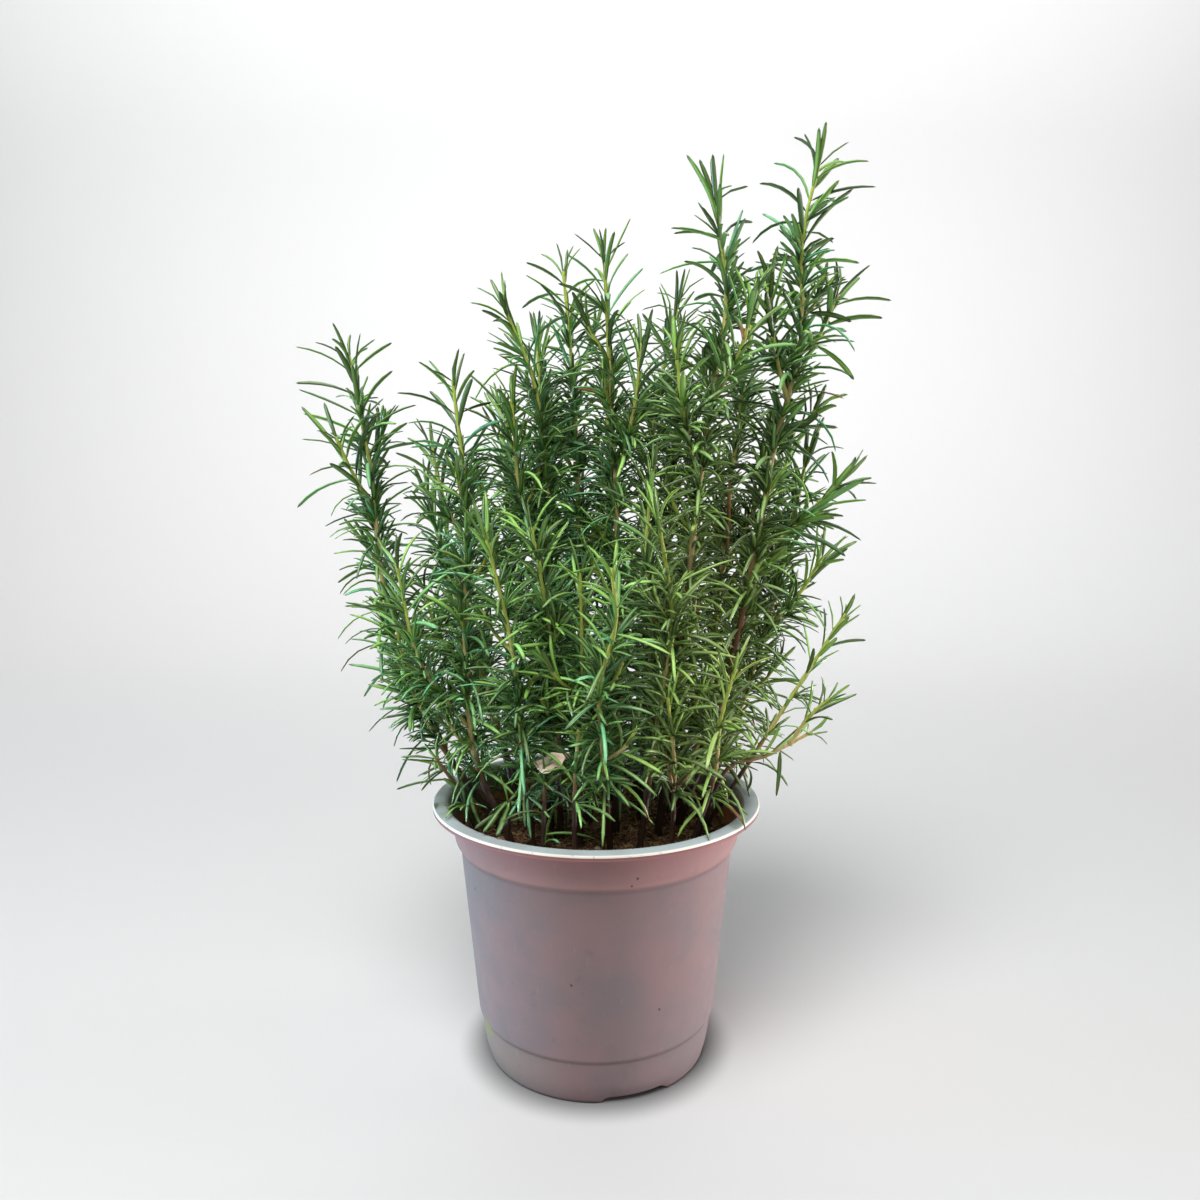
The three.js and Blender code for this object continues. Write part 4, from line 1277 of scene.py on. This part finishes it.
def scatter_fibres(settings, draw):
    parts = MeshParts("tone")
    for _ in range(FIBRE_COUNT):
        line = [on_soil(draw, SOIL_RADIUS - 9)]
        heading = draw.uniform(0, math.tau)
        for _ in range(draw.randint(5, 11)):
            heading += draw.gauss(0, 0.45)
            ahead = line[-1] + Vector((math.cos(heading), math.sin(heading), 0)) * FIBRE_STEP
            if ahead.xy.length > SOIL_RADIUS - 2:
                break
            ahead.z = soil_height(ahead.x, ahead.y) + draw.uniform(0.2, 1.1)
            line.append(ahead)
        if len(line) > 3:
            add_tube(parts, line, draw.uniform(0.2, 0.45), 5, draw.random())
    return parts.to_object("soil_fibres", litter_material("fibre", settings.fibre, settings.bark, 0.8))


def scatter_chips(settings, draw):
    """Pale mineral chips, the largest one near the front of the stems."""
    parts = MeshParts("tone")
    large = Vector((*LARGE_CHIP, soil_height(*LARGE_CHIP) + 0.8))
    for i, place in enumerate([large, *(on_soil(draw) for _ in range(CHIP_COUNT))]):
        width = 2.4 if i == 0 else draw.uniform(0.4, 1.0)
        add_lump(parts, place, (width, width * 0.8, width * 0.6), draw)
    return parts.to_object("pale_chips", litter_material("chip", settings.chip, settings.fibre, 0.75))


def make_dead_leaf(settings):
    """A broad dead leaf, curled along its midrib, that leans in the stems above the soil."""
    t = np.linspace(0, 1, LEAF_ROWS)[:, None]
    s = np.linspace(-1, 1, LEAF_COLUMNS)
    torn = 1 - 0.45 * np.exp(-((t - 0.56) / 0.09) ** 2)
    broad = LEAF_WIDTHS[0] * np.sin(math.pi * t ** 0.7) ** 1.2 * torn + 0.2
    narrow = LEAF_WIDTHS[1] * np.sin(math.pi * t) + 0.2
    across = np.where(s > 0, narrow, broad) * s
    rise = 9 * (t - 0.4) ** 2 + 3.4 * abs(s) ** 1.4 + 1.2 * np.sin(11 * t + 2.4 * s) * abs(s)
    upper = np.stack([LEAF_LENGTH * (t - 0.5) + 0 * s, across, rise], axis=-1)
    loops = np.concatenate([upper, upper[:, ::-1] - [0, 0, LEAF_THICKNESS]], axis=1)
    lean = Euler([math.radians(angle) for angle in LEAF_LEAN]).to_matrix()
    parts = MeshParts("tone")
    start = parts.add_points(loops.reshape(-1, 3) @ np.array(lean).T + LEAF_PLACE, tone=0.3)
    sides = 2 * LEAF_COLUMNS
    faces, _ = next(skin(LEAF_ROWS, sides))
    parts.add_faces(start, faces - 1)
    j = np.arange(LEAF_COLUMNS - 1)
    parts.add_faces(start, np.stack([j + 1, j, sides - 1 - j, sides - 2 - j], axis=1))
    last = start + (LEAF_ROWS - 1) * sides
    parts.add_faces(last, np.stack([j, j + 1, sides - 2 - j, sides - 1 - j], axis=1))
    return parts.to_object("dead_leaf", litter_material("dead_leaf", settings.dead_leaf, settings.chip, 0.6))


def make_dead_twigs(settings, draw):
    """Two dead orange-brown twigs that stand among the stems on the right."""
    parts = MeshParts("tone")
    for points in DEAD_TWIGS:
        add_tube(parts, even_points(curve_through(points, 8), 2), DEAD_TWIG_RADIUS, 6, draw.random())
    return parts.to_object("dead_twigs", litter_material("dead_twig", DEAD_WOOD, settings.bark, 0.7))


def soil_material(settings):
    shade = Shade("potting_mix", 0.95, 0.2)
    grain = shade.noise(520, 6, 0.7)
    body = shade.layers(
        settings.peat,
        (shade.ramp(grain, 0.42, 0.68), settings.dry),
        (shade.ramp(shade.noise(210, 4, 0.6), 0.56, 0.68, 0, 0.6), settings.bark),
        # near-black painted shade in the soil's hollows
        (shade.ramp(shade.noise(130, 3), 0.3, 0.55, 0.8, 0.0), SOIL_HOLLOW_SHADE))
    shade.bump(grain, 0.0011)
    return shade.paint(body)


def litter_material(name, main, other, roughness):
    shade = Shade(name, roughness, 0.3)
    streak = shade.noise(620, 5, 0.6, (1, 0.45, 1))
    body = shade.layers(
        main,
        (shade.ramp(streak, 0.35, 0.72, 0, 0.7), other),
        (shade.ramp(shade.fact("tone"), 0.4, 1.0, 0, 0.45), LITTER_DARK))
    shade.bump(streak, 0.0004, 0.8)
    return shade.paint(body)


# Stage, in metres. Each light has a name, a place, a target, a size, a power in watts, a tint and a spread.

SWEEP_WIDTH = 8.0
SWEEP_FRONT = -4.0
SWEEP_BACK = 1.0
SWEEP_RADIUS = 1.2
SWEEP_TOP = 4.0
WORLD_STRENGTH = 0.16
LIGHTS = [
    ("side_left", (-2.4, 0.3, 0.08), (0, 0, 0.1), (0.6, 0.14), 6.8, (0.5, 0.8, 1.0), 60),
    ("side_right", (2.4, 0.25, 0.08), (0, 0, 0.1), (0.6, 0.14), 7.4, (1.0, 0.95, 0.95), 60),
    ("key", (-0.25, -0.75, 1.5), (0, 0, 0.25), (0.8, 0.8), 26, (1, 1, 1), 180),
    ("top", (0.3, 1.3, 2.4), (0.3, 1.3, 0), (2.6, 1.6), 5, (1, 1, 1), 100),
    ("backdrop", (0, 0.9, 2.6), (0, 2.2, 1.1), (4.4, 0.8), 35, (1, 1, 1), 110),
]


def make_sweep(settings):
    """A plain floor that curves up into a plain backdrop, with a soft contact shadow painted on the floor
    round the pot's foot.
    """
    turn = [
        (SWEEP_BACK + SWEEP_RADIUS * math.sin(a), SWEEP_RADIUS * (1 - math.cos(a)))
        for a in np.linspace(0, math.pi / 2, 17)
    ]
    line = [(SWEEP_FRONT, 0), (-1.0, 0), (1.0, 0), *turn, (SWEEP_BACK + SWEEP_RADIUS, SWEEP_TOP)]
    points = [(side * SWEEP_WIDTH / 2, y, z) for y, z in line for side in (-1, 1)]
    faces = [(2 * i, 2 * i + 1, 2 * i + 3, 2 * i + 2) for i in range(len(line) - 1)]
    mesh = bpy.data.meshes.new("floor")
    mesh.from_pydata(points, [], faces)
    mesh.shade_smooth()
    shade = Shade("studio_floor", 0.85, 0.1)
    # painted contact shadow: a dark ring round the pot's foot
    contact_shadow = shade.ramp(shade.reach(), (BASE_RADIUS - 2) * MM, (BASE_RADIUS + 18) * MM, 0.65, 0.0)
    mesh.materials.append(shade.paint(shade.mix(contact_shadow, settings.floor, CONTACT_SHADOW)))
    floor = bpy.data.objects.new("floor", mesh)
    bpy.context.scene.collection.objects.link(floor)


def add_light(name, place, target, size, power, tint, spread):
    light = bpy.data.lights.new(name, "AREA")
    light.shape = "RECTANGLE"
    light.size, light.size_y = size
    light.energy = power
    light.color = tint
    light.spread = math.radians(spread)
    lamp = bpy.data.objects.new(name, light)
    lamp.location = place
    lamp.rotation_euler = (Vector(target) - Vector(place)).to_track_quat("-Z", "Y").to_euler()
    bpy.context.scene.collection.objects.link(lamp)


def add_camera(settings):
    lens = bpy.data.cameras.new("camera")
    lens.lens = settings.lens
    lens.sensor_width = 36
    lens.clip_start = 0.01
    camera = bpy.data.objects.new("camera", lens)
    camera.location = (settings.camera_side, -settings.camera_distance, settings.camera_height)
    camera.rotation_euler = (math.pi / 2 - settings.camera_pitch, 0, 0)
    bpy.context.scene.collection.objects.link(camera)
    bpy.context.scene.camera = camera


def light_world():
    world = bpy.data.worlds.new("studio")
    world.use_nodes = True
    background = world.node_tree.nodes["Background"]
    background.inputs["Color"].default_value = (1.0, 1.0, 1.0, 1)
    background.inputs["Strength"].default_value = WORLD_STRENGTH
    bpy.context.scene.world = world
    bpy.context.scene.view_settings.view_transform = "Standard"


# Operators

class ROSEMARY_OT_stage(bpy.types.Operator):
    """Makes the floor, the lights and the camera"""
    bl_idname = "rosemary.stage"
    bl_label = "Stage"

    def execute(self, context):
        settings = context.scene.rosemary_stage
        light_world()
        make_sweep(settings)
        add_camera(settings)
        for light in LIGHTS:
            add_light(*light)
        return {"FINISHED"}


class ROSEMARY_OT_pot(bpy.types.Operator):
    """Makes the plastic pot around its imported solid"""
    bl_idname = "rosemary.pot"
    bl_label = "Pot"

    def execute(self, context):
        make_pot(context.scene.rosemary_pot)
        return {"FINISHED"}


class ROSEMARY_OT_soil(bpy.types.Operator):
    """Makes the soil and what lies on it"""
    bl_idname = "rosemary.soil"
    bl_label = "Soil and litter"

    def execute(self, context):
        settings = context.scene.rosemary_soil
        draw = random.Random(LITTER_SEED)
        make_soil(settings)
        for scatter in (scatter_crumbs, scatter_bark, scatter_fibres, scatter_chips):
            finish_piece(scatter(settings, draw), "soil")
        finish_piece(make_dead_leaf(settings), "foliage")
        finish_piece(make_dead_twigs(settings, draw), "foliage")
        return {"FINISHED"}


class ROSEMARY_OT_stems(bpy.types.Operator):
    """Makes each leafy stem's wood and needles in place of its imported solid"""
    bl_idname = "rosemary.stems"
    bl_label = "Leafy stems"

    def execute(self, context):
        settings = context.scene.rosemary_needles
        materials = [needle_material(settings), wood_material(context.scene.rosemary_wood)]
        draw = random.Random(settings.seed)
        for index, (name, own) in enumerate(STEMS.items()):
            stem = {**HABIT, **own}
            branches = grow(stem, index, draw)
            parts = MeshParts("ripe", "tone", "dry", "under", "groove", "edge", "run")
            needles = [n for branch in branches for n in needles_on(branch, stem, settings, draw)]
            needles += [loose_needle(foot, tip, settings) for foot, tip in stem["loose"]]
            add_foliage(parts, needles)
            for strip, branch in enumerate(branches):
                add_wood(parts, branch, strip, len(branches), 1, draw)
            finish_piece(parts.to_object(name + "_leafy", *materials), "foliage", name)
        return {"FINISHED"}


class ROSEMARY_PT_panel(bpy.types.Panel):
    """Lists the plant's settings and the steps that make it"""
    bl_idname = "ROSEMARY_PT_panel"
    bl_label = "Potted rosemary"
    bl_space_type = "VIEW_3D"
    bl_region_type = "UI"
    bl_category = "Rosemary"

    def draw(self, context):
        for group, operator in STEPS:
            box = self.layout.box()
            settings = getattr(context.scene, group)
            for name in settings.__annotations__:
                box.prop(settings, name)
            box.operator(operator.bl_idname)


STEPS = (
    ("rosemary_stage", ROSEMARY_OT_stage),
    ("rosemary_pot", ROSEMARY_OT_pot),
    ("rosemary_soil", ROSEMARY_OT_soil),
    ("rosemary_needles", ROSEMARY_OT_stems),
)
GROUPS = {
    "rosemary_stage": StageSettings,
    "rosemary_pot": PotSettings,
    "rosemary_soil": SoilSettings,
    "rosemary_needles": NeedleSettings,
    "rosemary_wood": WoodSettings,
}
CLASSES = (*GROUPS.values(), *(operator for _, operator in STEPS), ROSEMARY_PT_panel)


def register():
    for cls in CLASSES:
        bpy.utils.register_class(cls)
    for name, group in GROUPS.items():
        setattr(bpy.types.Scene, name, bpy.props.PointerProperty(type=group))


def unregister():
    for name in GROUPS:
        delattr(bpy.types.Scene, name)
    for cls in reversed(CLASSES):
        bpy.utils.unregister_class(cls)


def main():
    register()
    bpy.ops.rosemary.stage()
    bpy.ops.rosemary.pot()
    bpy.ops.rosemary.soil()
    bpy.ops.rosemary.stems()
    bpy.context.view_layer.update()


if __name__ == "__main__":
    main()
